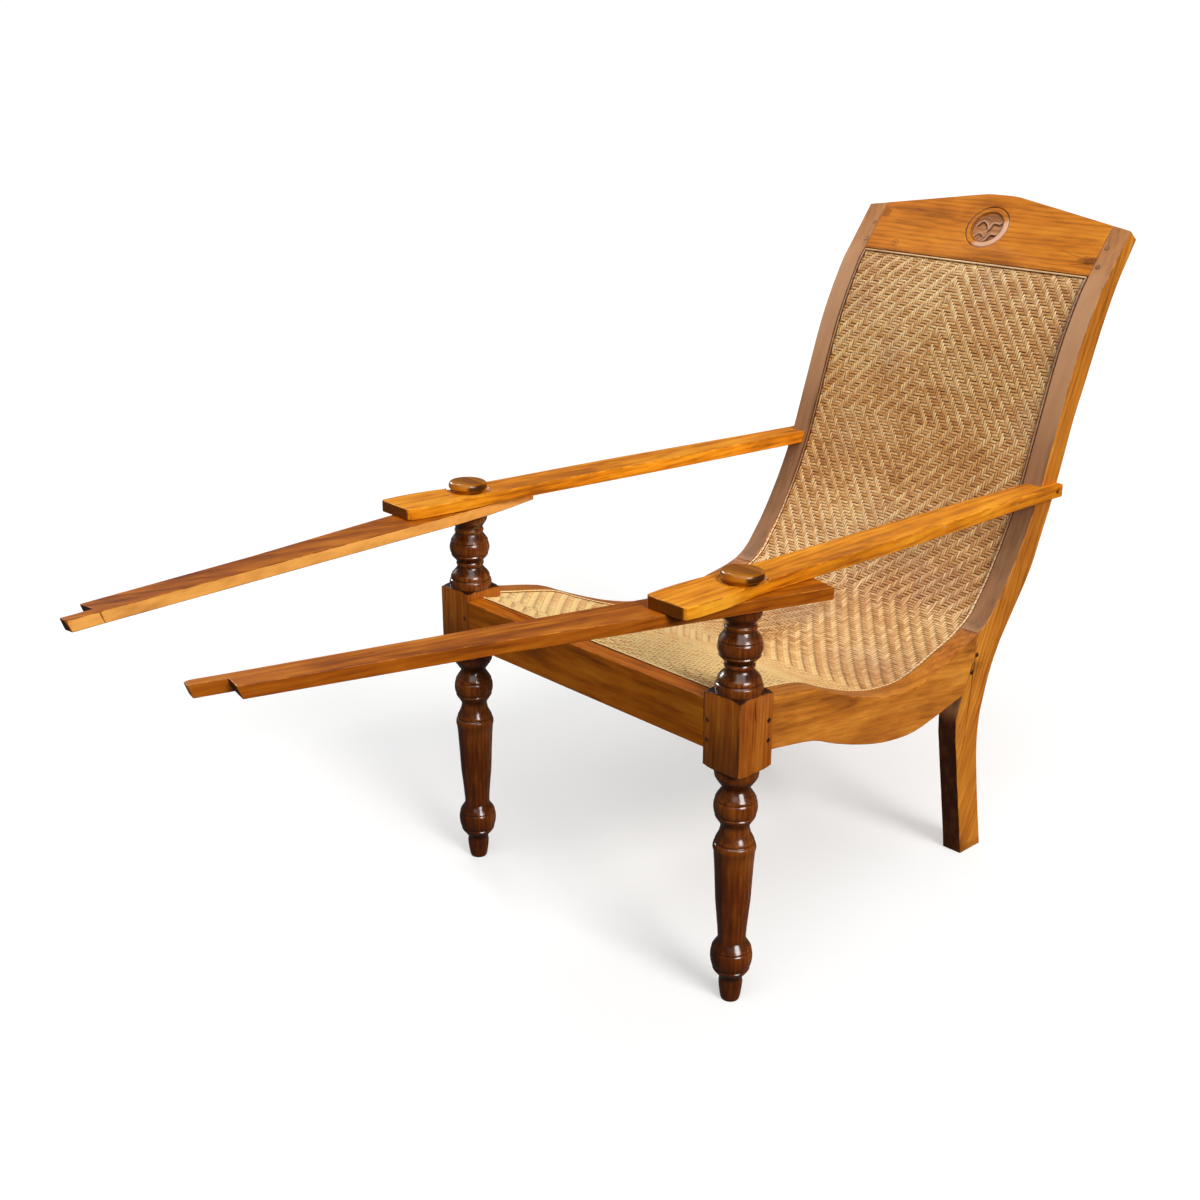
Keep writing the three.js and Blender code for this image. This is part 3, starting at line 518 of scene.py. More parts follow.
def wood(name, kind, centre, turn=(0, 0, 0), pith=(90, 60), ring=7.0,
         stains=(), rings=(), painted_light=(), pale_arcs=()):
    """Teak with its grain along the local x axis, a growth ring every few millimetres.

    Stains are (point, radii, share, turn) and rings are (point, radius, width, share, turn). Pale
    arcs are rings like them that are paler on their lower right. Painted light, shade or
    reflection is given as (direction, low, high, share, colour, top) for faces that look in a
    direction, and fades out above a height."""
    recipe = WOODS[kind]
    finish = Finish(name)
    local = finish.mapped(centre, turn)
    late = late_wood(finish, local, pith, ring)
    faint = finish.marks(local, FAINT, 1.0)
    fibre = finish.marks(local, FIBRE, 3.0, 0.6)
    fleck = finish.marks(local, FLECK, 2.0, 0.55)
    streak = finish.marks(local, STREAK, 3.0, 0.55)
    pores = finish.marks(local, PORE, 1.0).step(0.62, 0.74)
    blotch = finish.marks(local, BLOTCH, 3.0, 0.6)
    figure = recipe.figure
    tone = (0.54 + (blotch - 0.5) * 1.15 + (streak - 0.5) * (0.7 * figure)
            + (fleck - 0.5) * (0.55 * figure) + (fibre - 0.5) * (0.4 * figure)
            - late * faint * (0.3 * figure))
    colour = finish.ramp(tone, ((0.12, recipe.dark), (0.5, recipe.body), (0.9, recipe.pale)))
    colour = finish.mix(pores * 0.3, colour, recipe.dark)

    # Painted light, shade and reflection on sides that look in a direction
    for direction, low, high, share, light_colour, top in painted_light:
        looks = finish.facing(finish.normal, direction).step(low, high)
        below = 1 - finish.part(finish.objects, 2).step((top - 90) * MM, (top + 60) * MM)
        share = share + (streak - 0.5) * 1.1 + (blotch - 0.5) * 0.9
        share = (looks * share * (0.3 + below * 0.7)).within(0, 1)
        colour = finish.mix(share, colour, light_colour)

    # End grain and rounded edges, then painted shade in grooves and hollows and painted highlights
    # on carved lips
    grain = Euler(turn).to_matrix() @ Vector((1, 0, 0))
    end = abs(finish.facing(finish.normal, grain)).step(0.7, 0.86)
    colour = finish.mix(end * 0.95, colour, deeper(recipe.dark))
    edge = finish.attribute("edge")
    wear = finish.noise(finish.objects, 34.0, 3.0, 0.6)
    colour = finish.mix(edge * wear.step(0.5, 0.66) * 0.42, colour, recipe.pale)
    colour = finish.mix(edge * (1 - wear.step(0.38, 0.58)) * 0.7, colour, recipe.dark)
    colour = finish.mix(finish.attribute("hollow") * 0.85, colour, deeper(recipe.dark))
    colour = finish.mix(finish.attribute("lip") * 0.5, colour, LIP_HIGHLIGHT)

    # Stains, dark rings, which on the crest are knots and painted shade in the roundel's grooves,
    # and pale arcs
    ragged = (finish.noise(finish.objects, 130.0, 3.0) - 0.5) * 0.9
    for point, radii, share, lie in stains:
        spot = finish.length(finish.mapped(point, lie, [1 / (r * MM) for r in radii])) + ragged
        colour = finish.mix((1 - spot.step(0.45, 1.1)) * share, colour, deeper(recipe.dark, 0.5))
    for point, radius, width, share, lie in rings:
        flat = finish.mapped(point, lie, [1 / MM] * 3)
        mark = ring_share(finish, flat, radius - ragged * (0.35 * width), width, 0.3)
        colour = finish.mix(mark * share, colour, deeper(recipe.dark))
    for point, radius, width, share, lie in pale_arcs:
        flat = finish.mapped(point, lie, [1 / MM] * 3)
        lower_right = (finish.facing(flat, (0.74, 0, -0.67)) + ragged * 5).step(8, 18)
        mark = ring_share(finish, flat, radius, width, 0.7) * lower_right
        colour = finish.mix(mark * share, colour, PALE_ARC_COLOUR)

    rough = recipe.rough + (fibre - 0.5) * 0.14 + (blotch - 0.5) * 0.22 + edge * 0.06
    height = fibre * 0.5 + late * 0.15 - pores * 0.6
    return finish.close(
        colour, rough, (height, 0.14, 0.0004), Coat_Weight=recipe.coat,
        Coat_Roughness=POLISH_ROUGHNESS, Specular_IOR_Level=POLISH_SPECULAR)


# Cane has the tones of a dark, a middle and a pale strand, and of the shade between strands
WOVEN_TONES = ((0.38, 0.145, 0.034), (0.7, 0.35, 0.11), (1.0, 0.69, 0.32), (0.17, 0.056, 0.014))
EDGE_TONES = ((0.24, 0.08, 0.02), (0.5, 0.21, 0.065), (0.95, 0.64, 0.32), (0.12, 0.04, 0.01))
CANE_BLUSH = (0.46, 0.235, 0.15)
CANE_FRONT_LIGHT = (1.0, 0.68, 0.5)


def cane_finish(name, tones, rough=0.4, front_light=0.0, lighter=0.0):
    """Split cane: each strand has its own tone, with painted shade where it dips and along its
    edges.
    """
    dark, middle, pale, shade = tones
    finish = Finish(name)
    strand = finish.attribute("tone")
    dip = finish.attribute("lift").step(-0.9, 0.8)
    rim = finish.attribute("rim").step(0.5, 1.0)
    flecks = finish.noise(finish.objects, 70.0, 3.0, 0.6)
    patch = finish.noise(finish.objects, 6.0, 2.0)
    fine = finish.noise(finish.objects, 420.0, 2.0)

    # Painted light brightens the front of the seat, and the rest has a pinkish blush in patches
    lit_front = 1 - finish.part(finish.objects, 1).step(-0.06, 0.42)
    blush = finish.noise(finish.objects, 4.2, 2.0, 0.6).step(0.5, 0.72) * (1 - lit_front)
    tone = (lighter + strand * 0.46 + flecks * 0.36 + (patch - 0.5) * 0.8 + (fine - 0.5) * 0.2
            + lit_front * front_light)
    colour = finish.ramp(tone, ((0.1, dark), (0.45, middle), (0.8, pale)))
    colour = finish.mix(blush * 0.42, colour, CANE_BLUSH)
    # Painted shade where a strand dips under another and along its rims
    colour = finish.mix(((1 - dip) * 0.9 + rim * 0.45).within(0, 1), colour, shade)
    # Painted light on the front of the seat
    colour = finish.mix(lit_front * 0.7, colour, CANE_FRONT_LIGHT, "SOFT_LIGHT")
    return finish.close(
        colour, rough + (flecks - 0.5) * 0.25, (fine, 0.15, 0.0003),
        Coat_Weight=0.2, Coat_Roughness=0.22)


def plain_finish(name, colour, rough, metal=0.0):
    finish = Finish(name)
    speck = finish.noise(finish.objects, 300.0, 2.0)
    tinted = finish.mix(speck * 0.6, colour, deeper(colour, 0.55))
    return finish.close(
        tinted, rough + (speck - 0.5) * 0.2, (speck, 0.1, 0.0002), Metallic=metal)


# Mesh helpers

# Angles in degrees over which an edge is rounded or drawn sharp, and distances in millimetres
BEVEL_FROM, SHARP_SOLID, SHARP_TURNED, SHARP_BLOCK, SHARP_LEG = 32, 13, 50, 34, 38
FLAT_WITHIN = 0.3
WELD, FINE_WELD, ON_AXIS = 0.01, 0.001, 1e-6
BEVEL_SEGMENTS = 3


def link(name, data):
    """A new object in the scene."""
    made = bpy.data.objects.new(name, data)
    bpy.context.scene.collection.objects.link(made)
    return made


def mesh_of(name, vertices, faces=(), edges=()):
    mesh = bpy.data.meshes.new(name)
    mesh.from_pydata([tuple(v) for v in vertices], edges, faces)
    mesh.update()
    return mesh


def mesh_from(work, name, outward=False):
    """The mesh of a bmesh, which is used up. Outward turns its faces out first."""
    if outward:
        bmesh.ops.recalc_face_normals(work, faces=work.faces)
    mesh = bpy.data.meshes.new(name)
    work.to_mesh(mesh)
    work.free()
    return mesh


def note(mesh, name, values, kind="FLOAT", domain="POINT"):
    """Stores a value for each point or face."""
    key = "vector" if kind == "FLOAT_VECTOR" else "value"
    mesh.attributes.new(name, kind, domain).data.foreach_set(key, values)


def smooth(mesh, sharp=None):
    """Smooth faces, with the edges over an angle in degrees kept sharp where one is given."""
    mesh.polygons.foreach_set("use_smooth", [True] * len(mesh.polygons))
    if sharp is not None:
        mesh.set_sharp_from_angle(angle=math.radians(sharp))


def circle(radius, sides):
    """Points round a circle, from the x axis on."""
    turns = [2 * math.pi * i / sides for i in range(sides)]
    return [(radius * math.cos(turn), radius * math.sin(turn)) for turn in turns]


def keep(piece, nodes, body=CHAIR):
    """Gives a finished piece its body and the nodes it stands for."""
    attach(piece, body)
    if nodes:
        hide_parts(*nodes)


def paint(piece, material):
    piece.data.materials.clear()
    piece.data.materials.append(material)


def evaluated(piece, name):
    """The mesh that a piece's modifiers make, as a new plain piece."""
    graph = bpy.context.evaluated_depsgraph_get()
    mesh = bpy.data.meshes.new_from_object(
        piece.evaluated_get(graph), preserve_all_data_layers=True, depsgraph=graph)
    mesh.name = name
    bpy.data.objects.remove(piece)
    return link(name, mesh)


def sanded(piece, name, material, width):
    """A piece with its edges rounded, and a mark on the faces that this makes."""
    for _ in range(2):
        piece.data.materials.append(material)
    bevel = piece.modifiers.new("soft_edge", "BEVEL")
    bevel.width = width * MM
    bevel.segments = BEVEL_SEGMENTS
    bevel.limit_method = "ANGLE"
    bevel.angle_limit = math.radians(BEVEL_FROM)
    bevel.use_clamp_overlap = False
    bevel.material = 1
    bevel.harden_normals = True
    made = evaluated(piece, name)
    faces = made.data.polygons
    note(made.data, "edge", [float(face.material_index == 1) for face in faces], domain="FACE")
    faces.foreach_set("material_index", [0] * len(faces))
    paint(made, material)
    return made


def softened(node, name, material, width=1.1, body=CHAIR):
    """A copy of a solid with its edges rounded by hand, as worn wood has them."""
    work = bmesh.new()
    work.from_mesh(NODES[node].data)
    bmesh.ops.remove_doubles(work, verts=work.verts, dist=WELD * MM)
    bmesh.ops.dissolve_limit(
        work, angle_limit=math.radians(FLAT_WITHIN), verts=work.verts, edges=work.edges)
    mesh = mesh_from(work, name)
    smooth(mesh, SHARP_SOLID)
    keep(sanded(link(name + "_work", mesh), name, material, width), [node], body)


def knotted(before, start, end, after, parts):
    """Points of a centripetal curve from start to end."""
    knots = [0.0]
    corners = [before, start, end, after]
    for a, b in zip(corners, corners[1:]):
        knots.append(knots[-1] + max(np.linalg.norm(b - a), 1e-4) ** 0.5)
    points = []
    for k in range(1, parts + 1):
        t = knots[1] + (knots[2] - knots[1]) * k / parts
        layer = corners
        for depth in range(1, 4):
            layer = [
                ((knots[i + depth] - t) * layer[i] + (t - knots[i]) * layer[i + 1])
                / (knots[i + depth] - knots[i])
                for i in range(4 - depth)
            ]
        points.append(layer[0])
    return points


def rounded_profile(shares, radius, height, base, parts=5):
    """A turner's line through a table of shares, smoothed between its entries."""
    points = np.array([(r * radius, base + z * height) for r, z in shares], float)
    last = len(points) - 1
    line = [points[0]]
    for i in range(last):
        start, end = points[i], points[i + 1]
        if min(start[0], end[0]) < ON_AXIS:
            line.append(end)
            continue
        before, after = points[max(i - 1, 0)], points[min(i + 2, last)]
        before = start if before[0] < ON_AXIS else before
        after = end if after[0] < ON_AXIS else after
        line.extend(knotted(before, start, end, after, parts))
    return line


def hollow_shares(line):
    """Heights in metres along a turned line and how deep its grooves lie there, from 0 to 1, for
    the painted shade in them.
    """
    step, reach = 0.25, 14
    heights = np.maximum.accumulate([z + 1e-4 * i for i, (_, z) in enumerate(line)])
    even = np.arange(heights[0], heights[-1], step)
    outline = np.interp(even, heights, [r for r, _ in line])
    padded = np.pad(outline, reach, "edge")
    highest = [padded[i:i + 2 * reach + 1].max() for i in range(len(even))]
    window = np.ones(2 * reach + 1) / (2 * reach + 1)
    even_height = np.convolve(np.pad(highest, reach, "edge"), window, "valid")
    return even * MM, np.clip((even_height - outline - 0.5) / 3.0, 0, 1)


def spun(name, line, centre, sides=72, tilt=0.0, slope_top=None, grooved=True):
    """A closed turned body about an upright axis, from radii and heights in millimetres."""
    work = bmesh.new()
    rings = []
    for radius, height in line:
        if radius < ON_AXIS:
            rings.append([work.verts.new((0, 0, height * MM))])
            continue
        ring = []
        for x, y in circle(radius, sides):
            z = height if slope_top is None else min(height, slope_top - REST_SLOPE * y)
            ring.append(work.verts.new((x * MM, y * MM, z * MM)))
        rings.append(ring)
    for low, high in zip(rings, rings[1:]):
        for i in range(sides):
            j = (i + 1) % sides
            corners = (low[i % len(low)], low[j % len(low)], high[j % len(high)],
                       high[i % len(high)])
            work.faces.new(tuple(dict.fromkeys(corners)))
    bmesh.ops.remove_doubles(work, verts=work.verts, dist=FINE_WELD * MM)
    mesh = mesh_from(work, name, outward=True)
    # Painted shade in the grooves, as deep as they lie
    if grooved:
        note(mesh, "hollow", np.interp([v.co.z for v in mesh.vertices], *hollow_shares(line)))
    mesh.transform(Matrix.Translation(centre) @ Matrix.Rotation(-tilt, 4, "X"))
    smooth(mesh, SHARP_TURNED)
    return mesh


# Seat line

def seat_points():
    """The seat line in measured millimetres as arrays of length, y and z."""
    low_y = SEAT_FRONT + SEAT_DEPTH
    points = np.array(
        [(SEAT_FRONT + a * SEAT_DEPTH, SEAT_LOW + b * SEAT_DIP) for a, b in SEAT_FRONT_SHARES]
        + [(low_y + a * BACK_REACH, SEAT_LOW + b * BACK_RISE) for a, b in SEAT_BACK_SHARES])
    line = []
    last = len(points) - 1
    for i in range(last):
        p0, p1, p2, p3 = points[max(i - 1, 0)], points[i], points[i + 1], points[min(i + 2, last)]
        v0, v1 = (p2 - p0) / 2, (p3 - p1) / 2
        for t in np.linspace(0, 1, 40, endpoint=False):
            line.append((2 * p1 - 2 * p2 + v0 + v1) * t**3
                        + (-3 * p1 + 3 * p2 - 2 * v0 - v1) * t**2 + v0 * t + p1)
    line = np.array([*line, points[-1]])
    lengths = np.concatenate(([0], np.cumsum(np.hypot(*np.diff(line, axis=0).T))))
    return lengths, line[:, 0], line[:, 1]


LINE_S, LINE_Y, LINE_Z = seat_points()
SEAT_LENGTH = LINE_S[-1]
TANGENT_REACH = 3


def on_seat(s):
    """Point (y, z) and upward direction (y, z) of the seat line at a length along it."""
    places = (s, s - TANGENT_REACH, s + TANGENT_REACH)
    (y, y1, y2), (z, z1, z2) = (np.interp(places, LINE_S, line) for line in (LINE_Y, LINE_Z))
    size = math.hypot(y2 - y1, z2 - z1)
    return y, z, -(z2 - z1) / size, (y2 - y1) / size


def half_width(y):
    """Half the width of the opening for the cane at a distance back."""
    if y < BLOCK_BACK:
        return BLOCK_INNER
    share = min((y - BLOCK_BACK) / (POST_JOINT_Y - BLOCK_BACK), 1)
    return RAIL_INNER_FRONT + (POST_INNER - RAIL_INNER_FRONT) * share


def on_cane(share, s, lift=CANE_MIDDLE):
    """A point of the cane: a share across it, a length along it, a height over the seat line."""
    y, z, ny, nz = on_seat(s)
    return place(share * (half_width(y) - CANE_INSET), y + ny * lift, z + nz * lift)


# Woven cane

# How much of a strand's tone is its own and how much that of each stretch of it between two dips,
# and the step between the numbers of two strands that keeps their stretches apart
STRAND_TONE, STRETCH_TONE, STRETCH_NUMBERS = 0.45, 0.55, 977.0


def weave_tree():
    """Strands that pass over three and under three others, in diamonds round two middles."""
    made = Tree("cane_weave", (
        "Middle Column", "Upper Middle Row", "Lower Middle Row", "Run", "Lift", "Side",
        "Half Width", "Half Thickness"))
    normal = made.named("facing", "FLOAT_VECTOR")
    row, strand = made.named("row"), made.named("strand")
    from_middle = abs(made.named("column") - made.given("Middle Column"))
    upper = abs(row - made.given("Upper Middle Row"))
    lower = abs(row - made.given("Lower Middle Row"))
    phase = from_middle + upper.least(lower) + 0.5
    over = phase % (made.given("Run") * 2.0) < made.given("Run")
    sign = (over * 2.0 - 1.0) * made.given("Side")
    stretch = made.math("FLOOR", phase / made.given("Run"))
    tone = (made.chance(strand, SEED) * STRAND_TONE
            + made.chance(strand * STRETCH_NUMBERS + stretch, SEED + 1) * STRETCH_TONE)
    guide = made.store(made.given("Geometry"), "lift", sign)
    guide = made.store(guide, "tone", tone)
    guide = made.moved(guide, made.scaled(normal, sign * made.given("Lift")))

    # A six-sided section lies flat on the cane, and its two outer points are its rims
    section = made.node("GeometryNodeCurvePrimitiveCircle", None, {"Resolution": 6, "Radius": 1.0})
    section = made.node(
        "GeometryNodeTransform", None, {"Geometry": section, "Rotation": (0, 0, math.pi / 6)})
    sideways = made.part(made.node("GeometryNodeInputPosition"), 1)
    section = made.store(section, "rim", abs(sideways))
    section = made.sized(section, made.given("Half Thickness"), made.given("Half Width"), 1.0)
    ribbons = made.swept(made.curves(guide, normal), section, made.named("girth"))

    # Seen from behind, a strand that dips at the front stands out, so its lift changes sign, and
    # with it the painted shade that the lift gives
    looks = (made.dot(made.node("GeometryNodeInputNormal"), normal) * 2.0).within(-1.0, 1.0)
    ribbons = made.store(ribbons, "lift", made.named("lift") * looks)
    return made.leave(made.painted(made.realized(ribbons), made.given("Material")))


def path_mesh(name, paths, marks):
    """Paths as loose edges. Each knot of a path is its place followed by its marks."""
    vertices, edges = [], []
    for path in paths:
        first = len(vertices)
        vertices.extend(knot[0] for knot in path)
        edges.extend((i, i + 1) for i in range(first, len(vertices) - 1))
    mesh = mesh_of(name, vertices, edges=edges)
    knots = [knot for path in paths for knot in path]
    for column, (mark, kind) in enumerate(marks, 1):
        note(mesh, mark, np.ravel([knot[column] for knot in knots]).astype(float), kind)
    return link(name, mesh)


FIRST_CROSS_NUMBER = 1000
Knot = namedtuple("Knot", "point facing column row girth strand")
KNOT_MARKS = (("facing", "FLOAT_VECTOR"), ("column", "FLOAT"), ("row", "FLOAT"),
              ("girth", "FLOAT"), ("strand", "FLOAT"))


def with_tips(strand, ends, **changes):
    """A strand that goes on under the border at both ends, with the marks that change there."""
    first, last = (
        strand[end]._replace(point=ends[end], **{mark: pair[end] for mark, pair in changes.items()})
        for end in (0, -1))
    return [first, *strand, last]


def weave_cane(long_material, cross_material):
    """The seat and back: strands along the seat line and strands across it."""
    chance = np.random.default_rng(SEED)
    count = int(SEAT_LENGTH // STRAND_PITCH) - 1
    start = (SEAT_LENGTH - (count - 1) * STRAND_PITCH) / 2
    shares = [-1 + 2 * (i + 0.5) / LONG_STRANDS for i in range(LONG_STRANDS)]
    lengths = [start + j * STRAND_PITCH for j in range(count)]
    upward = [(0, *on_seat(s)[2:]) for s in lengths]
    half_widths = [half_width(on_seat(s)[0]) for s in lengths]
    crossings = [[on_cane(share, s) for s in lengths] for share in shares]
    nudges = chance.normal(0, LONG_STRAY, LONG_STRANDS)
    drops = chance.normal(0, CROSS_STRAY, count)

    def long_strand(i):
        shift = Vector((nudges[i] * MM, 0, 0))
        strand = [
            Knot(crossings[i][j] + shift, upward[j], i, j, half_widths[j] / POST_INNER, i)
            for j in range(count)]
        ends = [on_cane(shares[i], s, CANE_MIDDLE - END_DROP) + shift
                for s in (STRAND_END, SEAT_LENGTH - STRAND_END)]
        return with_tips(strand, ends, row=(-1, count))

    def cross_strand(j):
        _, ny, nz = upward[j]
        shift = Vector((0, nz, -ny)) * (drops[j] * MM)
        strand = [
            Knot(crossings[i][j] + shift, upward[j], i, j, 1.0, FIRST_CROSS_NUMBER + j)
            for i in range(LONG_STRANDS)]
        reach = (half_widths[j] - STRAND_END) / (half_widths[j] - CANE_INSET)
        ends = [on_cane(side * reach, lengths[j], CANE_MIDDLE - END_DROP) + shift
                for side in (-1, 1)]
        return with_tips(strand, ends, column=(-1, LONG_STRANDS), girth=[END_GIRTH] * 2)

    tree = weave_tree()
    long_values = {"Side": 1.0, "Half Width": LONG_HALF_WIDTH * MM,
                   "Half Thickness": LONG_HALF_THICKNESS * MM, "Material": long_material}
    cross_values = {"Side": -1.0, "Half Width": CROSS_HALF_WIDTH * MM,
                    "Half Thickness": CROSS_HALF_THICKNESS * MM, "Material": cross_material}
    for name, numbers, strand, values in (
            ("cane_long_strands_right", range(LONG_STRANDS // 2), long_strand, long_values),
            ("cane_long_strands_left", range(LONG_STRANDS // 2, LONG_STRANDS), long_strand,
             long_values),
            ("cane_cross_strands_seat", range(count // 2), cross_strand, cross_values),
            ("cane_cross_strands_back", range(count // 2, count), cross_strand, cross_values)):
        guide = path_mesh("strand_guide", [strand(i) for i in numbers], KNOT_MARKS)
        piece = tree.run(guide, name, {
            "Middle Column": LONG_STRANDS / 2 - MIDDLE_TO_RIGHT,
            "Upper Middle Row": float(round((BACK_MIDDLE_S - start) / STRAND_PITCH)),
            "Lower Middle Row": float(round((SEAT_MIDDLE_S - start) / STRAND_PITCH)),
            "Run": STRANDS_OVER, "Lift": STRAND_RISE * MM, **values})
        smooth(piece.data)
        keep(piece, ["cane_sling"])


def cane_shade_sheet(material):
    """A dark sheet of painted shade inside the weave: a thin skin between its two layers that
    closes its gaps.
    """
    shares = np.linspace(-1, 1, CORE_COLUMNS)
    vertices, faces = [], []
    for s in np.linspace(CORE_END, SEAT_LENGTH - CORE_END, CORE_ROWS):
        vertices += [on_cane(share, s, CANE_MIDDLE + CORE_HALF) for share in shares]
        vertices += [on_cane(share, s, CANE_MIDDLE - CORE_HALF) for share in shares[::-1]]
    around = 2 * len(shares)
    last = len(vertices) - around
    for first in range(0, last, around):
        for i in range(around):
            j = (i + 1) % around
            faces.append((first + i, first + j, first + around + j, first + around + i))
    faces += [tuple(reversed(range(around))), tuple(range(last, last + around))]
    work = bmesh.new()
    work.from_mesh(mesh_of("core", vertices, faces))
    piece = link("cane_shade_sheet", mesh_from(work, "cane_shade_sheet", outward=True))
    paint(piece, material)
    keep(piece, ["cane_sling"])


def border_paths():
    """Paths of the border strand. Each knot has its up, its outward, its shade and its lacing."""
    paths = []
    low_y = SEAT_FRONT + SEAT_DEPTH
    for side, _ in SIDES:
        path = []
        for s in np.arange(BORDER_START, SEAT_LENGTH - 1, BORDER_STEP):
            y, z, ny, nz = on_seat(s)
            if y < BLOCK_BACK + 2:
                continue
            point = place(side * (half_width(y) - BORDER_INSET), y + ny * BORDER_LIFT,
                          z + nz * BORDER_LIFT)
            shaded = np.interp(z, BORDER_SHADE_HEIGHTS, (0, 1)) if y > low_y else 0
            path.append((point, (0, ny, nz), (side, 0, 0), shaded, 1))
        paths.append(path)
    paths.append([
        (on_crest(x, -BORDER_INSET, BORDER_LIFT), tuple(OUT_OF_CREST), tuple(UP_CREST), 0.25, 0.25)
        for x in np.linspace(BORDER_CORNER - POST_INNER, POST_INNER - BORDER_CORNER, 75)])
    y, z, ny, nz = on_seat(FRONT_BORDER_S)
    lift = BORDER_LIFT - FRONT_DROP
    paths.append([
        (place(x, y + ny * lift, z + nz * lift), (0, ny, nz), (0, -nz, ny), 0, 0.6)
        for x in np.linspace(BORDER_CORNER - BLOCK_INNER, BLOCK_INNER - BORDER_CORNER, 83)])
    return paths


def border_tree():
    """An oval strand along each path, loops over it at even steps and a dark cord of painted shade
    either side.
    """
    made = Tree("laced_border", ("Strand Half Width", "Strand Half Height", "Loop Spacing"),
                ("Strand Material", "Shade Material"))
    facing, away = made.named("facing", "FLOAT_VECTOR"), made.named("away", "FLOAT_VECTOR")
    shaded = made.named("shaded")
    path = made.curves(made.given("Geometry"), facing)
    section = made.node(
        "GeometryNodeCurvePrimitiveCircle", None, {"Resolution": 10, "Radius": 1.0})

    oval = made.sized(
        section, made.given("Strand Half Height"), made.given("Strand Half Width"), 1.0)
    # The strand is painted darker where it is shaded, up the sides of the back
    strand = made.store(made.swept(path, oval, 1.0), "tone", 0.85 - shaded * 0.7)
    strand = made.store(strand, "lift", 1.0)
    pieces = [made.painted(strand, made.given("Strand Material"))]
    for shift, size in SHADE_CORDS:
        beside = made.moved(path, made.scaled(away, shift * MM))
        oval = made.sized(section, size * MM, size * 0.85 * MM, 1.0)
        cord = made.swept(beside, oval, shaded * 0.99 + 0.01)
        pieces.append(made.painted(cord, made.given("Shade Material")))

    spots = made.node("GeometryNodeCurveToPoints", {"mode": "LENGTH"}, {
        "Curve": path, "Length": made.given("Loop Spacing")})
    turn = made.node(
        "FunctionNodeAxesToRotation", {"primary_axis": "Z", "secondary_axis": "X"},
        {"Primary Axis": facing, "Secondary Axis": away})
    loop = made.node("GeometryNodeMeshIcoSphere", None, {"Radius": 1.0, "Subdivisions": 2})
    loop = made.node("GeometryNodeTransform", None, {
        "Geometry": loop, "Scale": tuple(size * MM for size in LOOP_HALF_SIZE),
        "Translation": (0, 0, LOOP_LIFT * MM), "Rotation": (0, 0, LOOP_SLANT)})
    loops = made.realized(made.copies(spots, loop, turn, made.named("laced")))
    # The loops have a low tone, and their low lift gives them painted shade
    loops = made.store(made.store(loops, "tone", 0.2), "lift", -0.1)
    pieces.append(made.painted(loops, made.given("Strand Material")))
    return made.leave(made.joined(*pieces))


def border(strand_material, shade_material):
    """The rounded strand over the edge of the cane, laced down by loops."""
    guide = path_mesh("border_path", border_paths(), (
        ("facing", "FLOAT_VECTOR"), ("away", "FLOAT_VECTOR"), ("shaded", "FLOAT"),
        ("laced", "FLOAT")))
    piece = border_tree().run(guide, "cane_border", {
        "Strand Half Width": BORDER_HALF_WIDTH * MM, "Strand Half Height": BORDER_HALF_HEIGHT * MM,
        "Loop Spacing": LOOP_STEP * MM, "Strand Material": strand_material,
        "Shade Material": shade_material})
    smooth(piece.data)
    keep(piece, [f"cane_binding_{end}" for end in ENDS])


# Turned and small pieces

def leg(side, label, turned_wood, block_wood):
    """A front leg: turned foot, square block, baluster, and the dowel through rest and arm."""
    centre = place(side * LEG_X, 0, 0)
    foot = rounded_profile(LEG_TURNING_SHARES, LEG_RADIUS, BLOCK_BOTTOM, 0)
    baluster = rounded_profile(BALUSTER_SHARES, LEG_RADIUS, COLLAR_TOP - BLOCK_TOP, BLOCK_TOP)
    baluster += [np.array((share * LEG_RADIUS, COLLAR_TOP + 3)) for share in (COLLAR_SHARE, 0)]
    low, high = COLLAR_TOP - 4, ARM_LEVEL + 4
    dowel = [(0, low), (DOWEL_RADIUS, low), (DOWEL_RADIUS, high), (0, high)]
    work = bmesh.new()
    work.from_mesh(spun("foot", foot, centre))
    work.from_mesh(spun("baluster", baluster, centre, slope_top=COLLAR_TOP))
    work.from_mesh(spun("dowel", dowel, centre, 32, grooved=False))
    mesh = mesh_from(work, f"leg_{label}_turnings")
    mesh.set_sharp_from_angle(angle=math.radians(SHARP_LEG))
    piece = link(f"leg_{label}_turnings", mesh)
    paint(piece, turned_wood)
    keep(piece, [f"front_leg_{label}"])
    keep(leg_block(side, label, block_wood), [f"front_leg_{label}"])


def leg_block(side, label, material):
    """The square block, with its corners rounded off by the turner at both ends."""
    half = BLOCK_SIDE / 2
    reach = half * math.sqrt(2) + BLOCK_ROUND - half
    rise = half * (math.sqrt(2) - 1)
    line = [(0, BLOCK_BOTTOM), (half, BLOCK_BOTTOM)]
    for turn in np.linspace(0, math.pi / 2, 9):
        line.append((half + reach * math.sin(turn), BLOCK_BOTTOM + rise * (1 - math.cos(turn))))
    line += [(radius, BLOCK_BOTTOM + BLOCK_TOP - z) for radius, z in reversed(line)]
    centre = place(side * LEG_X, 0, 0)
    shoulder = link("shoulder", spun("shoulder", line, centre, 96))
    middle = centre + Vector((0, 0, (BLOCK_BOTTOM + BLOCK_TOP) / 2 * MM))
    size = Matrix.Diagonal((BLOCK_SIDE * MM, BLOCK_SIDE * MM, (BLOCK_TOP - BLOCK_BOTTOM) * MM, 1))
    work = bmesh.new()
    bmesh.ops.create_cube(work, size=1, matrix=Matrix.Translation(middle) @ size)
    block = link("block", mesh_from(work, "block"))
    cut = block.modifiers.new("shoulder", "BOOLEAN")
    cut.operation = "INTERSECT"
    cut.object = shoulder
    cut.solver = "EXACT"
    made = sanded(block, f"leg_{label}_block", material, 1.3)
    bpy.data.objects.remove(shoulder)
    smooth(made.data, SHARP_BLOCK)
    return made


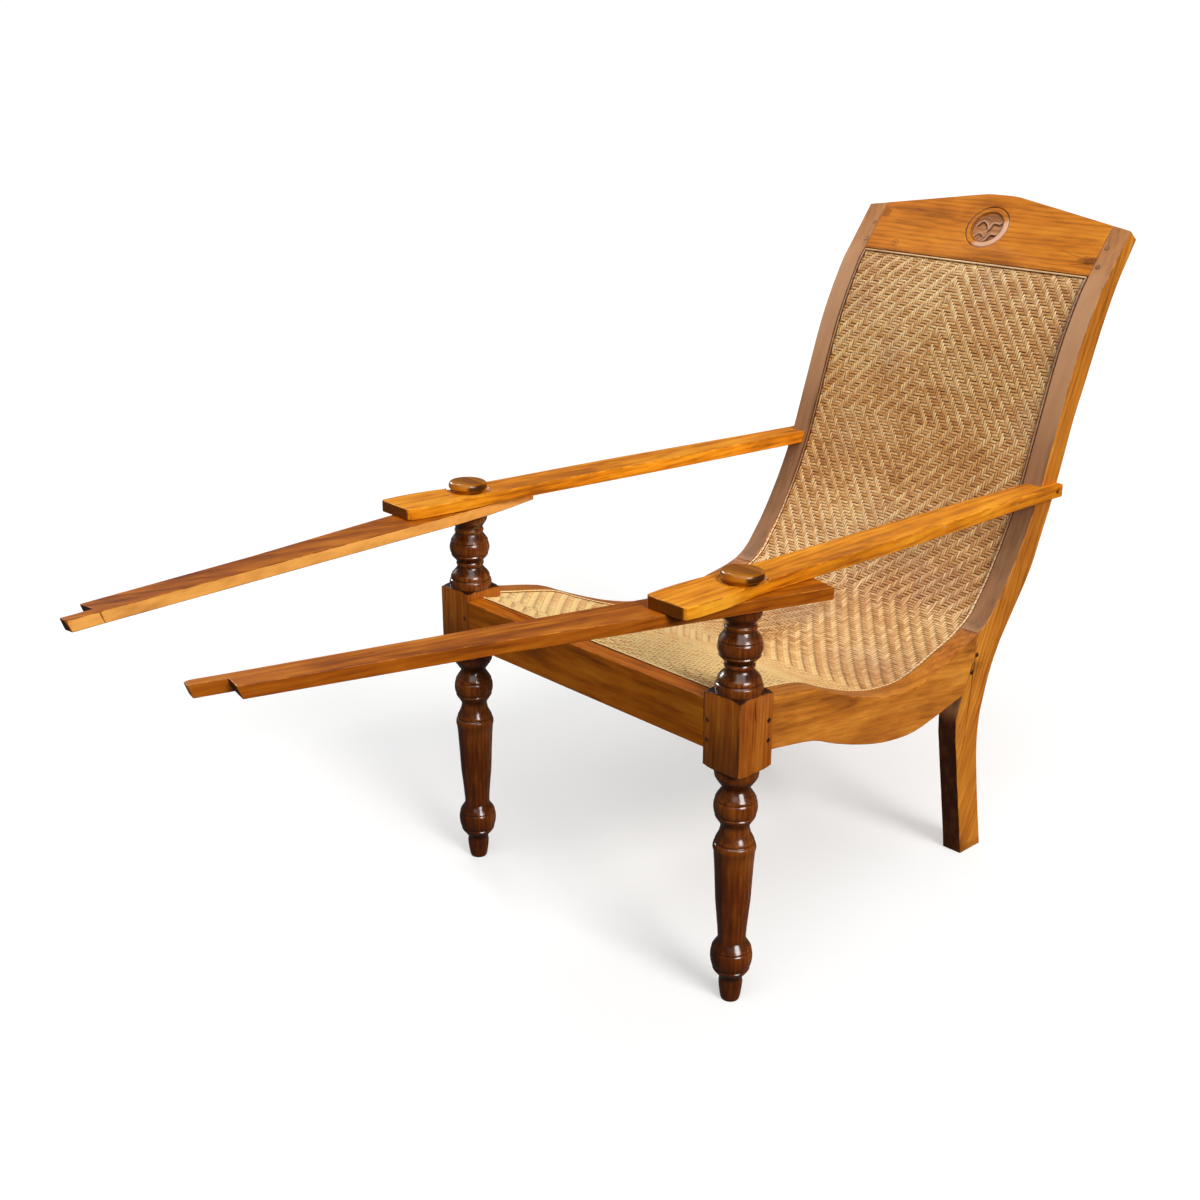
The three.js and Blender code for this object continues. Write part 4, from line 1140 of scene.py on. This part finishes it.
def cap(side, label, material):
    """The polished knob that covers the end of the dowel."""
    tilt = math.atan(ARM_SLOPE)
    upward = Vector((0, math.sin(tilt), math.cos(tilt)))
    base = place(side * LEG_X, 0, ARM_LEVEL) - upward * (CAP_SINK * MM)
    line = rounded_profile(CAP_SHARES, CAP_RADIUS, CAP_WHOLE, 0, 6)
    piece = link(f"cap_{label}", spun(f"cap_{label}", line, base, tilt=tilt, grooved=False))
    paint(piece, material)
    keep(piece, [f"arm_cap_{label}"])


def pegs(label, names, dome, material):
    """Pegs, each a short rod with a slightly domed end. Dome is its height over its radius."""
    ends = []
    for name in names:
        points = np.array([v.co for v in NODES[name].data.vertices])
        middle = points.mean(0)
        axis = np.linalg.svd(points - middle)[2][0]
        forward = "front_rail" in name or "crest" in name
        outward = -axis[1] if forward else axis[0] * middle[0]
        axis = axis if outward > 0 else -axis
        ends.append([(middle + axis * ((points - middle) @ axis).max(), axis)])
    made = Tree("pegs", ("Radius", "Dome"))
    radius = made.given("Radius")
    head = made.node("GeometryNodeMeshUVSphere", None, {
        "Segments": 20, "Rings": 10, "Radius": 1.0})
    head = made.sized(head, radius, radius, radius * made.given("Dome"))
    rod = made.node("GeometryNodeMeshCylinder", None, {
        "Vertices": 20, "Radius": radius, "Depth": PEG_LENGTH * MM})
    rod = made.node("GeometryNodeTransform", None, {
        "Geometry": rod, "Translation": (0, 0, -(PEG_LENGTH / 2 + 0.1) * MM)})
    spots = made.node("GeometryNodeMeshToPoints", None, {"Mesh": made.given("Geometry")})
    turn = made.node("FunctionNodeAlignRotationToVector", {"axis": "Z"}, {
        "Vector": made.named("outward", "FLOAT_VECTOR")})
    rods = made.realized(made.copies(spots, made.joined(rod, head), turn))
    made.leave(made.painted(rods, made.given("Material")))
    piece = made.run(path_mesh("peg_points", ends, (("outward", "FLOAT_VECTOR"),)), label, {
        "Radius": PEG_RADIUS * MM, "Dome": dome, "Material": material})
    smooth(piece.data, SHARP_TURNED)
    keep(piece, names)


def nails(material):
    """Small worn nail heads in the outer sides of the arms."""
    work = bmesh.new()
    for side, label in SIDES:
        board = NODES[f"arm_{label}"].data
        shell = BVHTree.FromPolygons(
            [v.co for v in board.vertices], [tuple(face.vertices) for face in board.polygons])
        for y, under in NAIL_PLACES:
            outside = place(side * 500, y, ARM_LEVEL - ARM_SLOPE * y - under)
            spot = shell.ray_cast(outside, Vector((-side, 0, 0)))[0]
            bmesh.ops.create_uvsphere(
                work, u_segments=14, v_segments=8, radius=NAIL_RADIUS * MM,
                matrix=Matrix.Translation(spot) @ Matrix.Diagonal((NAIL_FLATNESS, 1, 1, 1)))
    piece = link("arm_nails", mesh_from(work, "arm_nails"))
    paint(piece, material)
    keep(piece, [])


# Carving

# The roundel is carved with drooping leaves. These are the undercut lower edges of the leaves, in
# millimetres across and up from its middle, each with its depth.
LEAF_EDGES = (
    (1.0, ((-20, 1), (-17.8, 3.1), (-15.2, 7.7), (-11.1, 9.3), (-6.7, 6.8), (-2, 2.4),
           (1, -1.5))),
    (1.0, ((2.6, -8.4), (5.6, -4.1), (6.7, 1), (7.6, 5.3), (10.2, 7.4), (15.4, 6.8),
           (20.9, 5.6), (23.2, 8.3), (25, 12))),
    (0.75, ((-15.4, -18), (-12.5, -14.7), (-9.9, -13.8), (-6.4, -14.6), (-2.6, -17))),
    (1.3, ((-1.5, -30), (5.3, -26.6), (8.2, -22.6), (9.6, -18.2), (11.7, -14.9),
           (16, -13.8), (21.5, -15), (25, -12.6))),
    (0.35, ((-13.5, -25.5), (-9.3, -22.3), (-7.2, -18))),
    (0.4, ((-1.8, -23.6), (2.7, -19), (5.2, -11))),
    (0.3, ((-20, 12.5), (-16.1, 15.5), (-10.5, 16.8), (-3.4, 15.5))),
)
FIELD_HEIGHT = 1.45
RELIEF_MARGIN = 0.15
CARVING_RINGS, CARVING_SIDES = 64, 144


def eased(edge, passes=2):
    """A line with its corners cut off, so that it bends softly."""
    line = np.array(edge, float)
    for _ in range(passes):
        start, end = line[:-1], line[1:]
        inner = np.stack([0.75 * start + 0.25 * end, 0.25 * start + 0.75 * end], 1)
        line = np.concatenate([line[:1], inner.reshape(-1, 2), line[-1:]])
    return line


def from_edge(points, edge):
    """Distance of each point from a line, and the same with a minus sign on its right side."""
    nearest, signed = np.full(len(points), 1e9), np.zeros(len(points))
    corners = eased(edge)
    for start, end in zip(corners, corners[1:]):
        line = end - start
        share = np.clip(((points - start) @ line) / (line @ line), 0, 1)
        apart = points - start - share[:, None] * line
        distance = np.hypot(*apart.T)
        side = np.sign(line[0] * apart[:, 1] - line[1] * apart[:, 0])
        closer = distance < nearest
        nearest = np.where(closer, distance, nearest)
        signed = np.where(closer, distance * side, signed)
    return nearest, signed


def hump(distance, middle, width):
    """1 at a middle distance, falling off softly on both sides."""
    return np.exp(-((distance - middle) / width) ** 2)


def leaf_relief(points):
    """Height over the floor of the field, depth of painted shade and painted highlight on the lips
    at points on it.
    """
    points = np.array(points, float)
    height = np.full(len(points), FIELD_HEIGHT)
    shade, lip = np.zeros((2, len(points)))
    for depth, edge in LEAF_EDGES:
        nearest, signed = from_edge(points, edge)
        height += depth * (0.8 * np.tanh(signed / 0.6) * hump(nearest, 0, 4.4)
                           + 0.4 * hump(signed, 2.2, 1.5))
        shade = np.maximum(shade, depth * 1.15 * hump(signed, -0.8, 1.5) * (nearest < 4))
        lip = np.maximum(lip, depth * hump(signed, 2, 1.1) * (nearest < 5))
    rim = np.clip((np.hypot(*points.T) / ROUNDEL_FIELD - 0.93) / 0.06, 0, 1)
    height = np.clip(height, RELIEF_MARGIN, ROUNDEL_SINK - RELIEF_MARGIN) * (1 - rim) + 0.2 * rim
    shade = np.clip(np.maximum(shade, rim * 0.8), 0, 1)
    return height, shade, np.clip(lip, 0, 1) * (1 - rim)


def roundel(material):
    """The relief in the sunk field of the crest rail."""
    rings, sides = CARVING_RINGS, CARVING_SIDES
    spots = [(0, 0)]
    for k in range(1, rings + 1):
        spots += circle((ROUNDEL_FIELD - 0.4) * k / rings, sides)
    heights, shades, lip_highlights = leaf_relief(spots)
    floor = -ROUNDEL_SINK - 1
    vertices = [on_crest(x, ROUNDEL_UP + u, height - ROUNDEL_SINK)
                for (x, u), height in zip(spots, heights)]
    vertices += [on_crest(x, ROUNDEL_UP + u, floor) for x, u in spots[-sides:]]
    vertices.append(on_crest(0, ROUNDEL_UP, floor))
    faces = []
    for i in range(sides):
        j = (i + 1) % sides
        faces.append((0, 1 + i, 1 + j))
        for low in range(1, 1 + rings * sides, sides):
            high = low + sides
            faces.append((low + i, high + i, high + j, low + j))
        base = 1 + rings * sides
        faces.append((base + i, len(vertices) - 1, base + j))
    mesh = mesh_of("crest_carving", vertices, faces)
    hidden = len(vertices) - len(spots)
    # Painted shade under the leaves and round the rim of the field, and painted highlights on the
    # lips
    note(mesh, "hollow", [*shades, *[1.0] * hidden])
    note(mesh, "lip", [*lip_highlights, *[0.0] * hidden])
    smooth(mesh)
    piece = link("crest_carving", mesh)
    paint(piece, material)
    keep(piece, [])


# The chair

LEVEL = (0, 0, 0)
ALONG_X = (0, 0, 0)
ALONG_Y = (0, 0, math.pi / 2)
ALONG_Z = (0, -math.pi / 2, 0)
CREST_TURN = (-BACK_LEAN, 0, 0)
REST_STORED = {"left": -12, "right": 8.5}

# Painted light, shade and reflection on faces that look in a direction: (direction, low, high,
# share, colour, top)
POST_LIGHT_AND_SHADE = (
    # On the posts: a pale painted reflection on the faces that look up and forward, painted shade
    # on them lower down, and dark painted shade low on the faces that look forward
    ((0, -0.8, 0.6), 0.8, 0.95, 0.85, (0.74, 0.42, 0.23), 925),
    ((0, -0.8, 0.6), 0.8, 0.95, 0.75, (0.25, 0.118, 0.05), 690),
    ((0, -1, -0.15), 0.93, 0.99, 0.95, (0.085, 0.022, 0.008), 600),
)
REST_LIGHT_AND_SHADE = {
    # The side that looks towards +x is painted in shade on the left leg rest and painted lit on the
    # right one
    "left": (((1, -0.2, 0), 0.9, 0.98, 0.4, (0.28, 0.06, 0.002), 900),),
    "right": (((1, 0.15, 0), 0.9, 0.98, 0.8, (0.98, 0.45, 0.1), 900),),
}

# Marks on the crest rail: (across, up, radii, share, slant) and (across, up, radius, width, share)
CREST_STAINS = (
    (214, 26, (26, 30, 9), 0.7, 0), (176, 34, (46, 30, 0.8), 0.45, 0.3),
    (203, 20, (30, 30, 0.9), 0.6, -0.25), (196, 37, (18, 30, 0.9), 0.4, -0.1),
    # The long thin band just above the cane is a painted shadow line between the crest and the
    # border strand
    (-214, 74, (14, 30, 10), 0.5, 0), (0, 4, (240, 30, 4), 0.25, 0),
)
CREST_RINGS = (
    # The first two rings are painted shade in the roundel's outer groove and at the edge of its
    # sunk field; the other three mark knots
    (0, ROUNDEL_UP, 38.4, 1.3, 0.85), (0, ROUNDEL_UP, 29.0, 1.6, 0.8),
    (-165, 16, 6, 1.4, 0.45), (-165, 16, 2, 1.5, 0.5), (211, 25, 5, 1.3, 0.3),
)
CREST_PALE_ARCS = ((0, ROUNDEL_UP, 33.8, 5.2, 0.8),)


def centre_of(node):
    low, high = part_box(node)
    return (low + high) / 2


def along(x, y, z):
    """The turn that lays the grain in a direction."""
    return tuple(Vector((x, y, z)).to_track_quat("X", "Z").to_euler())


def build_side(side, label):
    """The leg, knob, side rail, post, arm and leg rest of one side."""
    turned_wood = wood(
        f"turned_wood_{label}", "umber", place(side * LEG_X, 0, 300), ALONG_Z, (30, 12))
    block_wood = wood(
        f"block_wood_{label}", "block", place(side * LEG_X, 0, 413), ALONG_Z,
        (52, 22 + 6 * side), 6, stains=(
            (place(side * 312, -2.6, 450), (30, 1.2, 20), 0.95, (0.03, 0, 0)),
            (place(side * 312, 12, 440), (30, 1.0, 26), 0.5, (-0.05, 0, 0)),
            (place(side * 280, 0, 470), (50, 50, 6), 0.5, LEVEL),
            (place(side * 280, 0, 356), (50, 50, 8), 0.5, LEVEL)))
    leg(side, label, turned_wood, block_wood)
    cap(side, label, wood(
        f"cap_wood_{label}", "cap", place(side * LEG_X, 0, 625), ALONG_X, (20, 40)))
    softened(f"side_rail_{label}", f"seat_rail_{label}", wood(
        f"side_rail_wood_{label}", "honey", centre_of(f"side_rail_{label}"),
        along(-44 * side, 545, -105), (150, 50), 9, stains=(
            (place(side * 262, 560, 372), (14, 30, 22), 0.4, LEVEL),
            (place(side * 288, 40, 450), (30, 14, 30), 0.35, LEVEL))))
    softened(f"back_post_{label}", f"post_{label}", wood(
        f"post_wood_{label}", "honey", centre_of(f"back_post_{label}"),
        along(0, 0.37, 0.93), (120, 70), 9, painted_light=POST_LIGHT_AND_SHADE, stains=(
            (place(side * 239, 560, 330), (60, 40, 14), 0.5, LEVEL),
            (place(side * 239, 570, 4), (60, 60, 14), 0.5, LEVEL))))
    softened(f"arm_{label}", f"armrest_{label}", wood(
        f"arm_wood_{label}", "gold", centre_of(f"arm_{label}"),
        (0, 0, math.pi / 2 + side * 0.04), (70, 90), 8), 1.4)
    stored = math.radians(side * REST_STORED[label])
    softened(f"leg_rest_{label}", f"footboard_{label}", wood(
        f"rest_wood_{label}", "russet", centre_of(f"leg_rest_{label}"),
        (0, 0, math.pi / 2 + stored), (60, 80), 8, painted_light=REST_LIGHT_AND_SHADE[label]),
        1.2, f"leg_rest_{label}_body")


def build_middle():
    """The rails between the sides, the carving and the battens."""
    def ring_marks(rings):
        return [(on_crest(x, up), *sizes, CREST_TURN) for x, up, *sizes in rings]

    softened("front_rail", "seat_rail_front", wood(
        "front_rail_wood", "amber", centre_of("front_rail"), ALONG_X, (120, 50), 9))
    softened("crest_rail", "crest", wood(
        "crest_wood", "bright", centre_of("crest_rail"), CREST_TURN, (40, 160), 8,
        stains=[(on_crest(x, up), radii, share, (-BACK_LEAN, slant, 0))
                for x, up, radii, share, slant in CREST_STAINS],
        rings=ring_marks(CREST_RINGS), pale_arcs=ring_marks(CREST_PALE_ARCS)))
    roundel(wood("carving_wood", "carved", centre_of("crest_rail"), CREST_TURN, (40, 160)))
    softened("seat_stretcher", "stretcher", wood(
        "stretcher_wood", "amber", centre_of("seat_stretcher"), ALONG_X, (120, 50)))
    for end, turn in zip(ENDS, (ALONG_Y, ALONG_Y, ALONG_X, ALONG_X)):
        batten = f"cane_batten_{end}"
        paint(NODES[batten], wood(f"batten_wood_{end}", "amber", centre_of(batten), turn))


def build_cane():
    """The woven panel, a dark sheet of painted shade inside it and its laced edge."""
    # The strands along the seat are painted lighter than those across it as painted light, and both
    # are painted lighter at the front of the seat
    weave_cane(
        cane_finish("cane_along", WOVEN_TONES, 0.34, front_light=0.46, lighter=0.2),
        cane_finish("cane_across", WOVEN_TONES, 0.4, front_light=0.2, lighter=0.08))
    cane_shade_sheet(plain_finish("cane_gaps", (0.1, 0.035, 0.01), 0.8))
    border(
        cane_finish("edge_strand", EDGE_TONES, front_light=0.5, lighter=0.22),
        plain_finish("lacing_shade", (0.05, 0.014, 0.005), 0.7))


def build_pegs():
    """The pegs, by the wood that their ends show, and the nail heads."""
    names = [name for name in NODES if "_peg_" in name]
    for label, marks, dome, kind in (
            ("pegs", ("rail_", "post_"), 0.22, "peg"), ("arm_pegs", ("arm_",), 0.08, "gold"),
            ("crest_pegs", ("crest",), 0.1, "worn")):
        chosen = [name for name in names if any(mark in name for mark in marks)]
        pegs(label, chosen, dome, wood(f"{label[:-1]}_wood", kind, LEVEL, ALONG_X))
    nails(plain_finish("nail_head", (0.75, 0.68, 0.55), 0.4, 0.6))


# Floor and light

# Each lamp: the direction it shines from, its strength, its width in degrees and its colour
WHITE = (1, 1, 1)
LAMPS = {
    "right_key": ((0.85, -0.1, 0.5), 2.75, 26, (1, 0.98, 0.95)),
    "top_light": ((0.13, -0.16, 0.44), 1.6, 55, WHITE),
    "front_fill": ((-0.35, -0.85, 0.3), 0.2, 60, WHITE),
    "rear_fill": ((-0.3, 0.85, -0.45), 1.7, 60, WHITE),
    "rear_top": ((-0.3, 0.9, 0.3), 0.5, 60, WHITE),
    "top_sheen": ((-0.6, 0.25, 0.7), 0.4, 12, (1, 0.99, 0.97)),
    "left_sheen": ((-0.85, 0.05, 0.35), 1.6, 18, (1, 0.99, 0.97)),
}
DULL_LAMPS = ("front_fill", "rear_fill", "rear_top")
SHEEN_LAMPS = ("left_sheen",)
FLOOR_RADIUS, WALL_HEIGHT, FLOOR_SIDES = 70, 90, 96
FLOOR_TONE, FLOOR_SPECK, FLOOR_GLOW, WALL_GLOW, AIR_GLOW = 0.6, 0.58, 0.43, 1.02, 0.07


def make_lamp(name, direction, strength, width, colour):
    """A far lamp. Some light the chair without a gloss, and some give only a gloss."""
    data = bpy.data.lights.new(name, "SUN")
    data.energy = strength
    data.color = colour
    data.angle = math.radians(width)
    lamp = link(name, data)
    lamp.location = Vector(direction).normalized() * 4
    lamp.rotation_mode = "QUATERNION"
    lamp.rotation_quaternion = Vector(direction).to_track_quat("Z", "Y")
    lamp.visible_glossy = name not in DULL_LAMPS
    lamp.visible_diffuse = name not in SHEEN_LAMPS


def make_studio():
    """A pale floor and wall that throw no light back on the chair, and the lamps."""
    rim = circle(FLOOR_RADIUS, FLOOR_SIDES)
    low = [(x, y, 0) for x, y in rim]
    high = [(x, y, WALL_HEIGHT) for x, y in rim]
    sides = []
    for i in range(FLOOR_SIDES):
        j = (i + 1) % FLOOR_SIDES
        sides.append((i, i + FLOOR_SIDES, j + FLOOR_SIDES, j))
    floor = link("studio_floor", mesh_of("studio_floor", low, [tuple(range(FLOOR_SIDES))]))
    wall = link("studio_wall", mesh_of("studio_wall", low + high, sides))

    finish = Finish("studio_floor")
    shade = finish.noise(finish.objects, 0.6, 2.0)
    tone = finish.mix(shade * 0.3, [FLOOR_TONE] * 3, [FLOOR_SPECK] * 3)
    paint(floor, finish.close(
        tone, 0.9, Emission_Color=WHITE, Emission_Strength=FLOOR_GLOW, Specular_IOR_Level=0.0))
    paint(wall, Finish("studio_wall").close(
        (0, 0, 0), 1.0, Emission_Color=WHITE, Emission_Strength=WALL_GLOW,
        Specular_IOR_Level=0.0))
    for piece in (floor, wall):
        piece.visible_diffuse = False
        piece.visible_glossy = False
        piece.visible_shadow = False

    world = bpy.data.worlds.new("studio_air")
    world.use_nodes = True
    air = world.node_tree.nodes["Background"]
    air.inputs[0].default_value = (*WHITE, 1)
    air.inputs[1].default_value = AIR_GLOW
    bpy.context.scene.world = world
    for name, values in LAMPS.items():
        make_lamp(name, *values)
    bpy.context.scene.view_settings.view_transform = "Standard"


make_camera()
for side, label in SIDES:
    build_side(side, label)
build_middle()
build_cane()
build_pegs()
make_studio()
